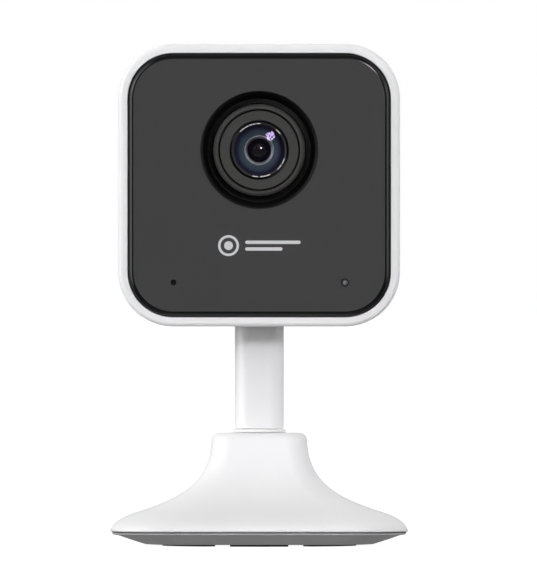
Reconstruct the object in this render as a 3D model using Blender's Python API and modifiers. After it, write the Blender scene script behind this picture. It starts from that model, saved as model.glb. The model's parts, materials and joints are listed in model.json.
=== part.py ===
"""A small indoor security camera: a square head that tilts on a swivelling stem over a flared base.

Frame: metres, +Z up, the lens looks along -Y. The origin is on the floor, under the stem's swivel axis.
Every piece is an object of its own. The bodies that move are the stem, which swivels in the base; the head,
which tilts on the stem; the reset button; and the infrared-cut shuttle with the rotor that drives it.
"""

import math

import bmesh
import bpy
from mathutils import Matrix, Vector

MM = 0.001
SEAM = 0.1 * MM  # the visible joint line between two resting pieces

# Base: a rounded square that sweeps from a wide rim up to a narrow collar.
BASE_HALF = 32.0 * MM
BASE_CORNER = 11.5 * MM
RIM_Z = 3.5 * MM
SHELL_BOTTOM_Z = 3.2 * MM
COLLAR_HALF = 10.35 * MM
COLLAR_CORNER = 4.5 * MM
COLLAR_TOP_Z = 24.4 * MM
COLLAR_FILLET = 1.6 * MM
SHELL_WALL = 2.0 * MM
FLARE_END = (26.7 * MM, 7.1 * MM)  # half width and height where the flare turns over to the rim
PAN_BOTTOM_Z = 0.4 * MM
PAN_FLOOR_Z = 2.0 * MM
PAN_HALF = 31.3 * MM
SCREW_PITCH = 18.0 * MM  # base screws, from the centre along X and along Y
PAD_INNER, PAD_OUTER = 17.3 * MM, 21.0 * MM
PAD_TOP_Z = 1.1 * MM
BALLAST_RADIUS = 21.5 * MM

# Stem and its swivel.
STEM_HALF_W = 5.32 * MM
STEM_HALF_D = 4.3 * MM
STEM_CORNER = 3.2 * MM
WASHER_RADIUS = 5.75 * MM
WASHER_THICK = 0.65 * MM
STEM_FOOT_Z = COLLAR_TOP_Z + WASHER_THICK + 2 * SEAM
SHAFT_RADIUS = 4.0 * MM
SHAFT_END_Z = 15.2 * MM
SLEEVE_END_Z = 16.5 * MM
RUNNING_GAP = 0.1 * MM

# Head: a rounded square box standing over the stem.
HEAD_HALF_W = 30.3 * MM
HEAD_HALF_H = 30.4 * MM
HEAD_CORNER = 11.8 * MM
HEAD_Z = 77.75 * MM  # the middle of the head
HOUSING_FRONT_Y = -17.6 * MM
HOUSING_REAR_Y = 12.4 * MM
HOUSING_WALL = 1.7 * MM
REAR_WALL_Y = 10.6 * MM  # inner face of the rear wall
PANEL_FRONT_Y = -18.3 * MM
PANEL_BACK_Y = -16.3 * MM
PANEL_GAP = 0.2 * MM
PANEL_EDGE = 1.2 * MM  # radius of the panel's rounded edge
HOLE_X = 18.45 * MM  # microphone on the left, status light on the right
HOLE_Z = 56.8 * MM
BOSS_PITCH = 22.9 * MM  # head screws, from the head's middle
BOSS_RADIUS = 3.2 * MM
BOSS_FRONT_Y = -11.5 * MM

# Tilt hinge, in a slot in the bottom and rear of the head.
HINGE_Z = 52.2 * MM
SLOT_HALF_W = 5.75 * MM
SLOT_FRONT_Y = -7.6 * MM
SLOT_ROOF_Z = 56.9 * MM
TUNNEL_WALL = 1.6 * MM
HINGE_PIN_RADIUS = 1.25 * MM
HINGE_BOSS_X = 8.0 * MM
HINGE = (0, 0, HINGE_Z)

# Lens, on its own axis above the head's middle. Heights ahead of the origin are towards the viewer.
LENS_Z = 85.3 * MM
RECESS_RADIUS = 12.7 * MM
BEZEL_RADIUS = 9.9 * MM
FLANGE_RADIUS = 8.5 * MM
RING_RADIUS = 6.2 * MM
GLASS_RADIUS = 5.6 * MM
SHUTTLE_TRAVEL = 4.6 * MM
ROTOR_ARM = 5.0 * MM
ROTOR_X, ROTOR_Z = 0.3 * MM, LENS_Z + 9.5 * MM

# Electronics.
BOARD_Y = (1.0 * MM, 2.2 * MM)
FRONT_BOARD_Y = (-14.6 * MM, -13.8 * MM)
SPEAKER_Z = 88.0 * MM
USB_Z = 66.0 * MM
CARD_Z = (72.0 * MM, 86.0 * MM)
SIDE_PORT_Y = 3.2 * MM  # the card slot's middle, and the reset button's
RESET_Z = 66.0 * MM
RESET = (0, SIDE_PORT_Y, RESET_Z)

# Round pieces: sides of a large, a middling and a small circle, and steps in a quarter-round corner.
ROUND, MEDIUM, SMALL = 40, 24, 12
PIN_HOLE_STEPS = 14
CORNER_STEPS = 6

for leftover in list(bpy.data.objects):
    bpy.data.objects.remove(leftover, do_unlink=True)

CAMERA = bpy.data.collections.new("security_camera")
CUTTERS = bpy.data.collections.new("cutters")
for collection in (CAMERA, CUTTERS):
    bpy.context.scene.collection.children.link(collection)


def material(name, colour, roughness, metallic=0.0):
    """A Principled BSDF of one colour, in linear light."""
    look = bpy.data.materials.new(name)
    look.use_nodes = True
    shader = look.node_tree.nodes["Principled BSDF"]
    shader.inputs["Base Color"].default_value = (*colour, 1.0)
    shader.inputs["Roughness"].default_value = roughness
    shader.inputs["Metallic"].default_value = metallic
    return look


WHITE = material("white_plastic", (0.86, 0.86, 0.86), 0.35)
GREY = material("grey_plastic", (0.27, 0.27, 0.27), 0.5)
CHARCOAL = material("charcoal_panel", (0.058, 0.058, 0.058), 0.3)
BLACK = material("black_plastic", (0.012, 0.012, 0.012), 0.5)
BARREL = material("barrel_black", (0.07, 0.066, 0.062), 0.45)
GLASS = material("lens_glass", (0.03, 0.04, 0.09), 0.05)
RUBBER = material("rubber", (0.03, 0.03, 0.03), 0.8)
STEEL = material("steel", (0.55, 0.55, 0.56), 0.35, 1.0)
MAGNET = material("magnet_nickel", (0.62, 0.6, 0.56), 0.25, 1.0)
ALUMINIUM = material("aluminium", (0.75, 0.75, 0.76), 0.4, 1.0)
COPPER = material("copper_winding", (0.72, 0.35, 0.16), 0.35, 1.0)
BOARD = material("circuit_board", (0.01, 0.09, 0.04), 0.45)
CHIP = material("chip_black", (0.02, 0.02, 0.022), 0.4)
CLEAR = material("clear_plastic", (0.8, 0.82, 0.85), 0.1)
FILTER = material("filter_glass", (0.25, 0.55, 0.6), 0.05)
CABLE = material("cable_jacket", (0.05, 0.05, 0.05), 0.5)


# Shared shapes.


def add(name, mesh, look, collection=CAMERA):
    """An object for the mesh, in its collection. One with no material is a cutter, and isn't a piece."""
    piece = bpy.data.objects.new(name, mesh)
    collection.objects.link(piece)
    if look is None:
        piece.hide_render = True
        piece.display_type = "WIRE"
    else:
        mesh.materials.append(look)
    return piece


def finish_mesh(name, bm, look, collection):
    """Closes the bmesh into an object, round faces smooth and corners sharp."""
    bmesh.ops.recalc_face_normals(bm, faces=bm.faces)
    mesh = bpy.data.meshes.new(name)
    bm.to_mesh(mesh)
    bm.free()
    mesh.shade_smooth()
    mesh.set_sharp_from_angle(angle=math.radians(35))
    return add(name, mesh, look, collection)


def about(middle, half):
    """The span that reaches this far each way from its middle."""
    return (middle - half, middle + half)


def in_mm(points):
    """Profile points given in millimetres, as metres."""
    return [(radius * MM, height * MM) for radius, height in points]


def block(
    name, look, x, y, z, corner=0.0, along="Y", steps=CORNER_STEPS, edge=0.0, edge_side=None, edge_steps=3
):
    """A box over three spans. Its four edges along one axis are rounded by corner, and the outline of one
    end by edge: edge_side is -1 for that axis's low end and 1 for its high end."""
    spans = (x, y, z)
    size = Vector([high - low for low, high in spans])
    middle = Vector([(high + low) / 2 for low, high in spans])
    axis = "XYZ".index(along)
    bm = bmesh.new()
    bmesh.ops.create_cube(bm, size=1.0)
    bmesh.ops.scale(bm, vec=size, verts=bm.verts)
    if corner:
        uprights = [e for e in bm.edges if abs((e.verts[0].co - e.verts[1].co)[axis]) > size[axis] / 2]
        bmesh.ops.bevel(bm, geom=uprights, offset=corner, segments=steps, profile=0.5, affect="EDGES")
    if edge:
        end = edge_side * size[axis] / 2
        rim = [e for e in bm.edges if all(abs(v.co[axis] - end) < 1e-7 for v in e.verts)]
        bmesh.ops.bevel(bm, geom=rim, offset=edge, segments=edge_steps, profile=0.5, affect="EDGES")
    bmesh.ops.translate(bm, vec=middle, verts=bm.verts)
    return finish_mesh(name, bm, look, CUTTERS if look is None else CAMERA)


TURNS = {
    "up": Matrix.Identity(4),
    "down": Matrix.Rotation(math.pi, 4, "X"),
    "front": Matrix.Rotation(math.radians(90), 4, "X"),
    "right": Matrix.Rotation(math.radians(90), 4, "Y"),
    "left": Matrix.Rotation(math.radians(-90), 4, "Y"),
}


def turned(name, look, profile, place=(0, 0, 0), axis="up", steps=MEDIUM, closed=True):
    """A profile of (radius, height) points, down the outside, turned about an axis through place. Heights
    run the way that the axis says; the front is -Y and the right is +X. A closed profile is a ring, and an
    open one ends on the axis."""
    bm = bmesh.new()
    points = [bm.verts.new((radius, 0.0, height)) for radius, height in profile]
    for first, second in zip(points, points[1:]):
        bm.edges.new((first, second))
    if closed:
        bm.edges.new((points[-1], points[0]))
    mesh = bpy.data.meshes.new(name)
    bm.to_mesh(mesh)
    bm.free()
    piece = add(name, mesh, look, CUTTERS if look is None else CAMERA)
    piece.matrix_world = Matrix.Translation(place) @ TURNS[axis]
    screw = piece.modifiers.new("turn", "SCREW")
    screw.axis = "Z"
    screw.steps = screw.render_steps = steps
    screw.use_merge_vertices = True
    screw.merge_threshold = 0.00001
    screw.use_smooth_shade = False
    return piece


def rod(name, look, radius, low, high, place=(0, 0, 0), axis="up", steps=MEDIUM):
    """A plain cylinder between two heights on its axis."""
    profile = [(0, high), (radius, high), (radius, low), (0, low)]
    return turned(name, look, profile, place, axis, steps, closed=False)


def ring(name, look, outer, inner, low, high, place=(0, 0, 0), axis="up", steps=MEDIUM):
    """A plain tube or washer between two heights on its axis."""
    profile = [(outer, high), (outer, low), (inner, low), (inner, high)]
    return turned(name, look, profile, place, axis, steps)


def boolean(piece, tool, operation):
    """Cuts the tool from the piece, or joins it to it. The tool stays as a hidden helper."""
    change = piece.modifiers.new(tool.name, "BOOLEAN")
    change.operation = operation
    change.object = tool
    change.solver = "EXACT"
    return piece


def cut(piece, *tools):
    for tool in tools:
        boolean(piece, tool, "DIFFERENCE")
    return piece


def join(piece, *tools):
    for tool in tools:
        boolean(piece, tool, "UNION")
    return piece


def flat_outline(name, look, points, low, high):
    """A flat outline in X and Y between two heights, from a filled 2D curve, made a mesh."""
    curve = bpy.data.curves.new(name, "CURVE")
    curve.dimensions = "2D"
    curve.fill_mode = "BOTH"
    curve.extrude = (high - low) / 2
    spline = curve.splines.new("POLY")
    spline.points.add(len(points) - 1)
    for point, (x, y) in zip(spline.points, points):
        point.co = (x, y, 0.0, 1.0)
    spline.use_cyclic_u = True
    guide = bpy.data.objects.new(name + "_guide", curve)
    CUTTERS.objects.link(guide)
    bpy.context.view_layer.update()
    flat = bpy.data.meshes.new_from_object(guide.evaluated_get(bpy.context.evaluated_depsgraph_get()))
    bpy.data.objects.remove(guide)
    bm = bmesh.new()
    bm.from_mesh(flat)
    bmesh.ops.remove_doubles(bm, verts=bm.verts, dist=0.000001)
    bmesh.ops.translate(bm, vec=(0, 0, (high + low) / 2), verts=bm.verts)
    return finish_mesh(name, bm, look, CUTTERS if look is None else CAMERA)


def tube_along(name, look, points, radius):
    """A thin tube along a smooth curve through the points."""
    curve = bpy.data.curves.new(name, "CURVE")
    curve.dimensions = "3D"
    curve.bevel_depth = radius
    curve.bevel_resolution = 1
    curve.use_fill_caps = True
    spline = curve.splines.new("POLY")
    route = smooth_route(points, 4)
    spline.points.add(len(route) - 1)
    for point, place in zip(spline.points, route):
        point.co = (*place, 1.0)
    piece = bpy.data.objects.new(name, curve)
    CAMERA.objects.link(piece)
    curve.materials.append(look)
    return piece


def smooth_route(points, steps):
    """Catmull-Rom points through the given ones."""
    knots = [Vector(p) for p in points]
    knots = [2 * knots[0] - knots[1], *knots, 2 * knots[-1] - knots[-2]]
    route = []
    for a, b, c, d in zip(knots, knots[1:], knots[2:], knots[3:]):
        for step in range(steps):
            t = step / steps
            bend = (2 * a - 5 * b + 4 * c - d) * t**2
            twist = (3 * b - a - 3 * c + d) * t**3
            route.append((2 * b + (c - a) * t + bend + twist) / 2)
    return [*route, knots[-2]]


def bezier(p0, p1, p2, p3, steps):
    """Points of a cubic Bezier, its start left out."""
    ends = [Vector(p) for p in (p0, p1, p2, p3)]
    found = []
    for step in range(1, steps + 1):
        t = step / steps
        weights = ((1 - t) ** 3, 3 * t * (1 - t) ** 2, 3 * t**2 * (1 - t), t**3)
        found.append(tuple(sum((w * p for w, p in zip(weights, ends)), Vector((0, 0)))))
    return found


def rounded_square(half, corner, z):
    """The points of a level rounded square, round corner by round corner."""
    points = []
    for quarter, (side_x, side_y) in enumerate(((1, 1), (-1, 1), (-1, -1), (1, -1))):
        for step in range(CORNER_STEPS + 1):
            angle = (quarter + step / CORNER_STEPS) * math.pi / 2
            x = side_x * (half - corner) + corner * math.cos(angle)
            y = side_y * (half - corner) + corner * math.sin(angle)
            points.append((x, y, z))
    return points


def base_corner(half):
    """The corner radius that the base has where it is this wide."""
    if half < COLLAR_HALF:
        return COLLAR_CORNER - (COLLAR_HALF - half)
    share = (half - COLLAR_HALF) / (BASE_HALF - COLLAR_HALF)
    return COLLAR_CORNER + share * (BASE_CORNER - COLLAR_CORNER)


def loft(name, look, levels):
    """A solid through rounded squares that grow from collar to rim, given as (half width, height)."""
    bm = bmesh.new()
    rings = []
    for half, z in levels:
        rings.append([bm.verts.new(p) for p in rounded_square(half, base_corner(half), z)])
    for lower, upper in zip(rings, rings[1:]):
        for i, corner in enumerate(lower):
            j = (i + 1) % len(lower)
            bm.faces.new((corner, lower[j], upper[j], upper[i]))
    bm.faces.new(rings[0])
    bm.faces.new(rings[-1])
    return finish_mesh(name, bm, look, CUTTERS if look is None else CAMERA)


def offset_inwards(levels, distance):
    """The same outline moved in by a wall, square to the line through each point's neighbours."""
    moved = []
    for i, point in enumerate(levels):
        before = Vector(levels[max(i - 1, 0)])
        after = Vector(levels[min(i + 1, len(levels) - 1)])
        along = (after - before).normalized()
        moved.append((point[0] - along.y * distance, point[1] + along.x * distance))
    return moved


def screw(name, look, head_radius, head_height, shank_radius, length, place, axis):
    """A pan-head screw with a cross recess. Its place is under the head, which points along the axis."""
    profile = [
        (0, head_height),
        (head_radius * 0.7, head_height),
        (head_radius, head_height * 0.5),
        (head_radius, 0),
        (shank_radius, 0),
        (shank_radius, -length + shank_radius),
        (0, -length),
    ]
    piece = turned(name, look, profile, place, axis, SMALL, closed=False)
    reach, half = head_radius * 0.55, head_radius * 0.14
    for index, (wide, deep) in enumerate(((reach, half), (half, reach))):
        height = (head_height * 0.45, head_height * 2)
        slot = block(f"{name}_recess_{index}", None, about(0, wide), about(0, deep), height)
        slot.matrix_world = Matrix.Translation(place) @ TURNS[axis]
        cut(piece, slot)
    return piece


# Base.


def flare_levels():
    """The shell's outside from the rim's underside up to the top of the collar, as (half width, height)."""
    rim = (BASE_HALF, RIM_Z)
    top = (COLLAR_HALF, COLLAR_TOP_Z - COLLAR_FILLET)
    levels = [(BASE_HALF - 0.3 * MM, SHELL_BOTTOM_Z), rim]
    levels += bezier(rim, (31.9 * MM, 4.9 * MM), (29.3 * MM, 6.27 * MM), FLARE_END, 5)
    levels += bezier(FLARE_END, (17.0 * MM, 10.2 * MM), (10.8 * MM, 13.5 * MM), top, 10)
    return levels


def collar_top_levels():
    """The quarter-round on the collar's top edge."""
    steps = 3
    levels = []
    for step in range(1, steps + 1):
        angle = step / steps * math.pi / 2
        half = COLLAR_HALF - COLLAR_FILLET * (1 - math.cos(angle))
        levels.append((half, COLLAR_TOP_Z - COLLAR_FILLET * (1 - math.sin(angle))))
    return levels


def screw_places(pitch, middle=0.0):
    """The four corners of a square of fasteners."""
    return [(sx * pitch, middle + sy * pitch) for sx in (-1, 1) for sy in (-1, 1)]


def base_shell():
    outside = flare_levels()
    shell = loft("base_shell", WHITE, outside + collar_top_levels())
    inside = [p for p in offset_inwards(outside[3:], SHELL_WALL) if p[1] > SHELL_BOTTOM_Z][::2]
    floor = [(inside[0][0] + 0.4 * MM, SHELL_BOTTOM_Z - 1 * MM)]
    ceiling = [(inside[-1][0], COLLAR_TOP_Z - 1.3 * SHELL_WALL)]
    cut(shell, loft("shell_cavity", None, floor + inside + ceiling))
    sleeve = rod("swivel_sleeve", None, 6.2 * MM, SLEEVE_END_Z, COLLAR_TOP_Z - 1 * MM, steps=ROUND)
    join(shell, sleeve)
    cut(shell, rod("swivel_bore", None, SHAFT_RADIUS + RUNNING_GAP, 10 * MM, 30 * MM, steps=ROUND))
    for index, (x, y) in enumerate(screw_places(SCREW_PITCH)):
        foot = SHELL_BOTTOM_Z + SEAM
        boss = rod(f"shell_boss_{index}", None, 2.6 * MM, foot, 8.0 * MM, (x, y, 0), steps=SMALL)
        hole = rod(f"shell_pilot_{index}", None, 1.15 * MM, 0, 7.0 * MM, (x, y, 0), steps=SMALL)
        join(shell, boss)
        cut(shell, hole)
    return shell


def pad_arc(start, end, inner, outer):
    """The outline of a foot pad, from one angle to another about the origin."""
    steps = 10
    angles = [math.radians(start + (end - start) * i / steps) for i in range(steps + 1)]
    outside = [(outer * math.cos(a), outer * math.sin(a)) for a in angles]
    inside = [(inner * math.cos(a), inner * math.sin(a)) for a in reversed(angles)]
    return outside + inside


PADS = {
    "foot_pad_front": (-90 - 17.5, -90 + 17.5),
    "foot_pad_right": (-57, 57),
    "foot_pad_back": (90 - 17.5, 90 + 17.5),
    "foot_pad_left": (123, 237),
}


def base_pan():
    rim = (PAN_HALF, SHELL_BOTTOM_Z - 2 * SEAM)
    underside = [*in_mm([(28.5, 1.85), (25.6, 0.75), (24.6, 0.5)]), (23.2 * MM, PAN_BOTTOM_Z)]
    pan = loft("base_pan", GREY, [rim, *underside])
    hollow = [(29.6 * MM, SHELL_BOTTOM_Z + 1 * MM), (29.6 * MM, 3.1 * MM), (27.0 * MM, PAN_FLOOR_Z)]
    cut(pan, loft("pan_hollow", None, hollow))
    for name, (start, end) in PADS.items():
        outline = pad_arc(start - 0.6, end + 0.6, PAD_INNER - 0.2 * MM, PAD_OUTER + 0.2 * MM)
        cut(pan, flat_outline(f"{name}_recess", None, outline, -1 * MM, PAD_TOP_Z + SEAM))
        flat_outline(name, RUBBER, pad_arc(start, end, PAD_INNER, PAD_OUTER), 0, PAD_TOP_Z)
    for index, (x, y) in enumerate(screw_places(SCREW_PITCH)):
        hole = rod(f"pan_hole_{index}", None, 1.4 * MM, 0, 4 * MM, (x, y, 0), steps=SMALL)
        sink = rod(f"pan_sink_{index}", None, 2.3 * MM, 0, 1.3 * MM, (x, y, 0), steps=SMALL)
        cut(pan, hole, sink)
        place = (x, y, 1.2 * MM)
        screw(f"base_screw_{index + 1}", STEEL, 2.0 * MM, 0.7 * MM, 1.0 * MM, 5.0 * MM, place, "down")
    return pan


def base_weights():
    ring("base_magnet", MAGNET, 14.0 * MM, 5.0 * MM, PAN_FLOOR_Z + 0.2 * MM, 3.8 * MM)
    rod("ballast_plate", STEEL, BALLAST_RADIUS, 4.0 * MM, 6.3 * MM, steps=ROUND)


# Stem.


def stem():
    width, depth = about(0, STEM_HALF_W), about(0, STEM_HALF_D)
    post = block("stem", WHITE, width, depth, (STEM_FOOT_Z, HINGE_Z), corner=STEM_CORNER, along="Z")
    knuckle_radius = STEM_HALF_D - 0.02 * MM
    knuckle = rod("knuckle", None, knuckle_radius, -STEM_HALF_W, STEM_HALF_W, HINGE, "right", ROUND)
    shaft = rod("swivel_shaft", None, SHAFT_RADIUS, SHAFT_END_Z, STEM_FOOT_Z + 2 * MM, steps=ROUND)
    join(post, knuckle, shaft)
    bore_radius = HINGE_PIN_RADIUS + 0.1 * MM
    cut(post, rod("hinge_bore", None, bore_radius, -9 * MM, 9 * MM, HINGE, "right", SMALL))
    cut(post, rod("shaft_pilot", None, 1.6 * MM, 10 * MM, 22 * MM, steps=SMALL))
    for side, name in ((-1, "left"), (1, "right")):
        low, high = sorted((side * 4.42 * MM, side * 8 * MM))
        cut(post, rod(f"washer_seat_{name}", None, 2.7 * MM, low, high, HINGE, "right", MEDIUM))
        low, high = sorted((side * 4.52 * MM, side * 5.6 * MM))
        ring(f"friction_washer_{name}", STEEL, 2.5 * MM, 1.4 * MM, low, high, HINGE, "right", MEDIUM)
    return post


def swivel():
    bore = SHAFT_RADIUS + RUNNING_GAP
    washer_low = COLLAR_TOP_Z + SEAM
    ring("swivel_washer", WHITE, WASHER_RADIUS, bore, washer_low, washer_low + WASHER_THICK, steps=ROUND)
    cone = [
        (6.0 * MM, SLEEVE_END_Z - 0.2 * MM),
        (6.0 * MM, SLEEVE_END_Z - 0.6 * MM),
        (bore, SHAFT_END_Z - 0.1 * MM),
        (bore, SHAFT_END_Z + 0.3 * MM),
    ]
    turned("swivel_spring", STEEL, cone)
    ring("swivel_retainer", STEEL, 6.3 * MM, 1.7 * MM, 13.8 * MM, SHAFT_END_Z - 0.25 * MM)
    place = (0, 0, 13.6 * MM)
    screw("swivel_screw", STEEL, 2.8 * MM, 1.6 * MM, 1.45 * MM, 7.8 * MM, place, "down")


# Head shells.


def head_block(name, look, half_w, half_h, y, corner, **more):
    """A box with round corners about the head's middle, over a span in Y."""
    return block(name, look, about(0, half_w), y, about(HEAD_Z, half_h), corner=corner, **more)


def rear_housing():
    outer_y = (HOUSING_FRONT_Y, HOUSING_REAR_Y)
    shell = head_block(
        "rear_housing", WHITE, HEAD_HALF_W, HEAD_HALF_H, outer_y, HEAD_CORNER, edge=4.0 * MM, edge_side=1
    )
    cavity = head_block(
        "housing_cavity",
        None,
        HEAD_HALF_W - HOUSING_WALL,
        HEAD_HALF_H - HOUSING_WALL,
        (HOUSING_FRONT_Y - 3 * MM, REAR_WALL_Y),
        HEAD_CORNER - HOUSING_WALL,
        edge=2.5 * MM,
        edge_side=1,
        edge_steps=2,
    )
    cut(shell, cavity)
    tunnel_x = SLOT_HALF_W + TUNNEL_WALL
    tunnel = block(
        "slot_tunnel",
        None,
        about(0, tunnel_x),
        (SLOT_FRONT_Y - TUNNEL_WALL, REAR_WALL_Y + 0.8 * MM),
        (HEAD_Z - HEAD_HALF_H + 0.6 * MM, SLOT_ROOF_Z + TUNNEL_WALL),
    )
    hub = rod("hinge_hub", None, 3.1 * MM, -HINGE_BOSS_X, HINGE_BOSS_X, HINGE, "right", MEDIUM)
    join(shell, tunnel, hub)
    for index, (x, z) in enumerate(screw_places(BOSS_PITCH, HEAD_Z)):
        boss = rod(f"boss_{index}", None, BOSS_RADIUS, -11.2 * MM, -BOSS_FRONT_Y, (x, 0, z), "front", SMALL)
        join(shell, boss)
    slot = block(
        "slot",
        None,
        about(0, SLOT_HALF_W),
        (SLOT_FRONT_Y, HOUSING_REAR_Y + 5 * MM),
        (HEAD_Z - HEAD_HALF_H - 5 * MM, SLOT_ROOF_Z),
    )
    hole_radius = HINGE_PIN_RADIUS + 0.15 * MM
    pin_hole = rod("pin_hole", None, hole_radius, -12 * MM, 12 * MM, HINGE, "right", PIN_HOLE_STEPS)
    cut(shell, slot, pin_hole)
    for index, (x, z) in enumerate(screw_places(BOSS_PITCH, HEAD_Z)):
        cut(shell, rod(f"pilot_{index}", None, 1.15 * MM, 3 * MM, 15 * MM, (x, 0, z), "front", SMALL))
    seat = in_mm([(0, -8.0), (8.6, -8.0), (8.6, -11.1), (10.2, -11.1), (10.2, -20.0), (0, -20.0)])
    cut(shell, turned("grille_seat", None, seat, (0, 0, SPEAKER_Z), "front", ROUND, closed=False))
    usb_mouth = block("usb_mouth", None, about(0, 4.2 * MM), (8 * MM, 15 * MM), about(USB_Z, 1.8 * MM))
    recess_y = (HOUSING_REAR_Y - 0.8 * MM, 15 * MM)
    usb_recess = block(
        "usb_recess", None, about(0, 5.6 * MM), recess_y, about(USB_Z, 3.6 * MM), corner=1.5 * MM, steps=3
    )
    wall_x = (27 * MM, 33 * MM)
    card_z = (CARD_Z[0] + 0.8 * MM, CARD_Z[1] - 0.8 * MM)
    card_slot = block("card_slot", None, wall_x, about(SIDE_PORT_Y, 0.8 * MM), card_z)
    button_hole = rod("button_hole", None, 1.8 * MM, *wall_x, RESET, "right", SMALL)
    cut(shell, usb_mouth, usb_recess, card_slot, button_hole)
    return shell


def front_panel():
    reach = HOUSING_WALL + PANEL_GAP
    panel = head_block(
        "front_panel",
        CHARCOAL,
        HEAD_HALF_W - reach,
        HEAD_HALF_H - reach,
        (PANEL_FRONT_Y, PANEL_BACK_Y),
        HEAD_CORNER - reach,
        steps=8,
        edge=PANEL_EDGE,
        edge_side=-1,
        edge_steps=3,
    )
    cut(panel, rod("lens_hole", None, RECESS_RADIUS, 10 * MM, 25 * MM, (0, 0, LENS_Z), "front", ROUND))
    cut(panel, rod("mic_hole", None, 0.68 * MM, 10 * MM, 25 * MM, (-HOLE_X, 0, HOLE_Z), "front", SMALL))
    cut(panel, rod("light_hole", None, 0.9 * MM, 10 * MM, 25 * MM, (HOLE_X, 0, HOLE_Z), "front", SMALL))
    return panel


def inner_frame():
    half_w, half_h = HEAD_HALF_W - 2.3 * MM, HEAD_HALF_H - 2.3 * MM
    corner = HEAD_CORNER - 2.3 * MM
    frame = head_block("inner_frame", BLACK, half_w, half_h, (PANEL_BACK_Y + 0.2 * MM, -11.8 * MM), corner)
    skirt = 1.2 * MM
    hollow = head_block(
        "frame_hollow", None, half_w - skirt, half_h - skirt, (-20 * MM, -13.2 * MM), corner - skirt
    )
    cut(frame, hollow)
    cut(frame, rod("frame_lens_hole", None, 10.1 * MM, 5 * MM, 25 * MM, (0, 0, LENS_Z), "front", ROUND))
    for index, (x, z) in enumerate(screw_places(BOSS_PITCH, HEAD_Z)):
        cut(frame, rod(f"frame_hole_{index}", None, 1.3 * MM, 5 * MM, 25 * MM, (x, 0, z), "front", SMALL))
    posts = in_mm([(-23.0, 66.0), (23.0, 66.0), (-15.5, 102.0), (15.5, 102.0)])
    for index, (x, z) in enumerate(posts):
        post = rod(f"board_post_{index}", None, 1.7 * MM, -0.8 * MM, 12.4 * MM, (x, 0, z), "front", SMALL)
        join(frame, post)
    return frame


def head_screws():
    for index, (x, z) in enumerate(screw_places(BOSS_PITCH, HEAD_Z)):
        place = (x, -13.3 * MM, z)
        screw(f"head_screw_{index + 1}", STEEL, 1.9 * MM, 1.4 * MM, 1.0 * MM, 9.0 * MM, place, "front")


def hinge_fasteners():
    place = (-HINGE_BOSS_X - 0.2 * MM, 0, HINGE_Z)
    screw("hinge_screw", STEEL, 2.3 * MM, 1.6 * MM, HINGE_PIN_RADIUS, 19.0 * MM, place, "left")
    low = HINGE_BOSS_X + 0.2 * MM
    across_corners = 1.155
    bore = (HINGE_PIN_RADIUS + 0.1 * MM) * across_corners
    ring("hinge_nut", STEEL, 2.5 * MM * across_corners, bore, low, low + 2 * MM, HINGE, "right", 6)


# Lens. Heights are distances ahead of the origin, towards the viewer.


def lens_ring(name, look, profile, steps=ROUND, closed=True):
    """A turned piece about the lens's axis, its profile in millimetres."""
    return turned(name, look, in_mm(profile), (0, 0, LENS_Z), "front", steps, closed)


def dome(radius, rim, rise, steps=5):
    """Points over a shallow dome, from its crown out to its rim: (radius, height) in millimetres."""
    return [(radius * i / steps, rim + rise * (1 - (i / steps) ** 2)) for i in range(steps + 1)]


def lens():
    shroud = [(13.0, 16.15), (13.0, 13.4), (10.3, 13.4), (10.3, 13.8), (12.5, 16.15)]
    lens_ring("lens_shroud", BLACK, shroud)
    rim = BEZEL_RADIUS / MM
    bezel = [(8.9, 17.2), (9.6, 17.2), (rim, 16.9), (rim, 11.0), (8.72, 11.0), (8.72, 17.0)]
    lens_ring("lens_bezel", BARREL, bezel)
    flange = FLANGE_RADIUS / MM
    outside = [(flange - 0.15, 17.0), (flange, 16.85), (flange, 14.6), (6.0, 14.6), (6.0, 4.0)]
    waist = [(4.2, 4.0), (4.2, 8.2), (2.6, 9.4), (2.6, 11.2)]
    mouth = [(5.8, 14.2), (5.8, 16.0), (6.42, 16.0), (6.42, 17.0)]
    lens_ring("lens_barrel", BARREL, outside + waist + mouth)
    collar = RING_RADIUS / MM
    lens_ring("lens_retaining_ring", BARREL, [(collar, 16.9), (collar, 16.1), (5.65, 16.1), (5.5, 16.7)])
    glass = GLASS_RADIUS / MM
    under = [(glass, 14.6), (4.4, 14.6), *reversed(dome(3.6, 14.75, 0.5, 3))]
    lens_ring("front_lens", GLASS, dome(glass, 15.7, 1.0) + under, MEDIUM, closed=False)
    back = [(r, 9.0 - h) for r, h in reversed(dome(3.9, 3.2, 0.7, 3))]
    lens_ring("rear_lens", GLASS, dome(3.9, 6.3, 0.7, 3) + back, MEDIUM, closed=False)


def lens_holder():
    """The black block on the board that carries the barrel and houses the infrared-cut filter."""
    width, height = (-10 * MM, 10.5 * MM), (LENS_Z - 8 * MM, LENS_Z + 13 * MM)
    case = block("lens_holder", BLACK, width, (-3.4 * MM, 0.8 * MM), height, corner=1 * MM, steps=2)
    wall = 1 * MM
    inner_width = (width[0] + wall, width[1] - wall)
    inner_height = (height[0] + wall, height[1] - wall)
    chamber = block("holder_chamber", None, inner_width, (-2.4 * MM, 2 * MM), inner_height)
    tube = rod("holder_tube", None, 7.8 * MM, 2.9 * MM, 13.0 * MM, (0, 0, LENS_Z), "front", MEDIUM)
    join(cut(case, chamber), tube)
    bore = [(0, 20.0), (6.15, 20.0), (6.15, 3.7), (3.6, 3.7), (3.6, 0), (0, 0)]
    cut(case, lens_ring("holder_bore", None, bore, closed=False))
    cut(case, rod("rotor_bearing", None, 0.8 * MM, 0, 3.2 * MM, (ROTOR_X, 0, ROTOR_Z), "front", SMALL))
    return case


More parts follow.
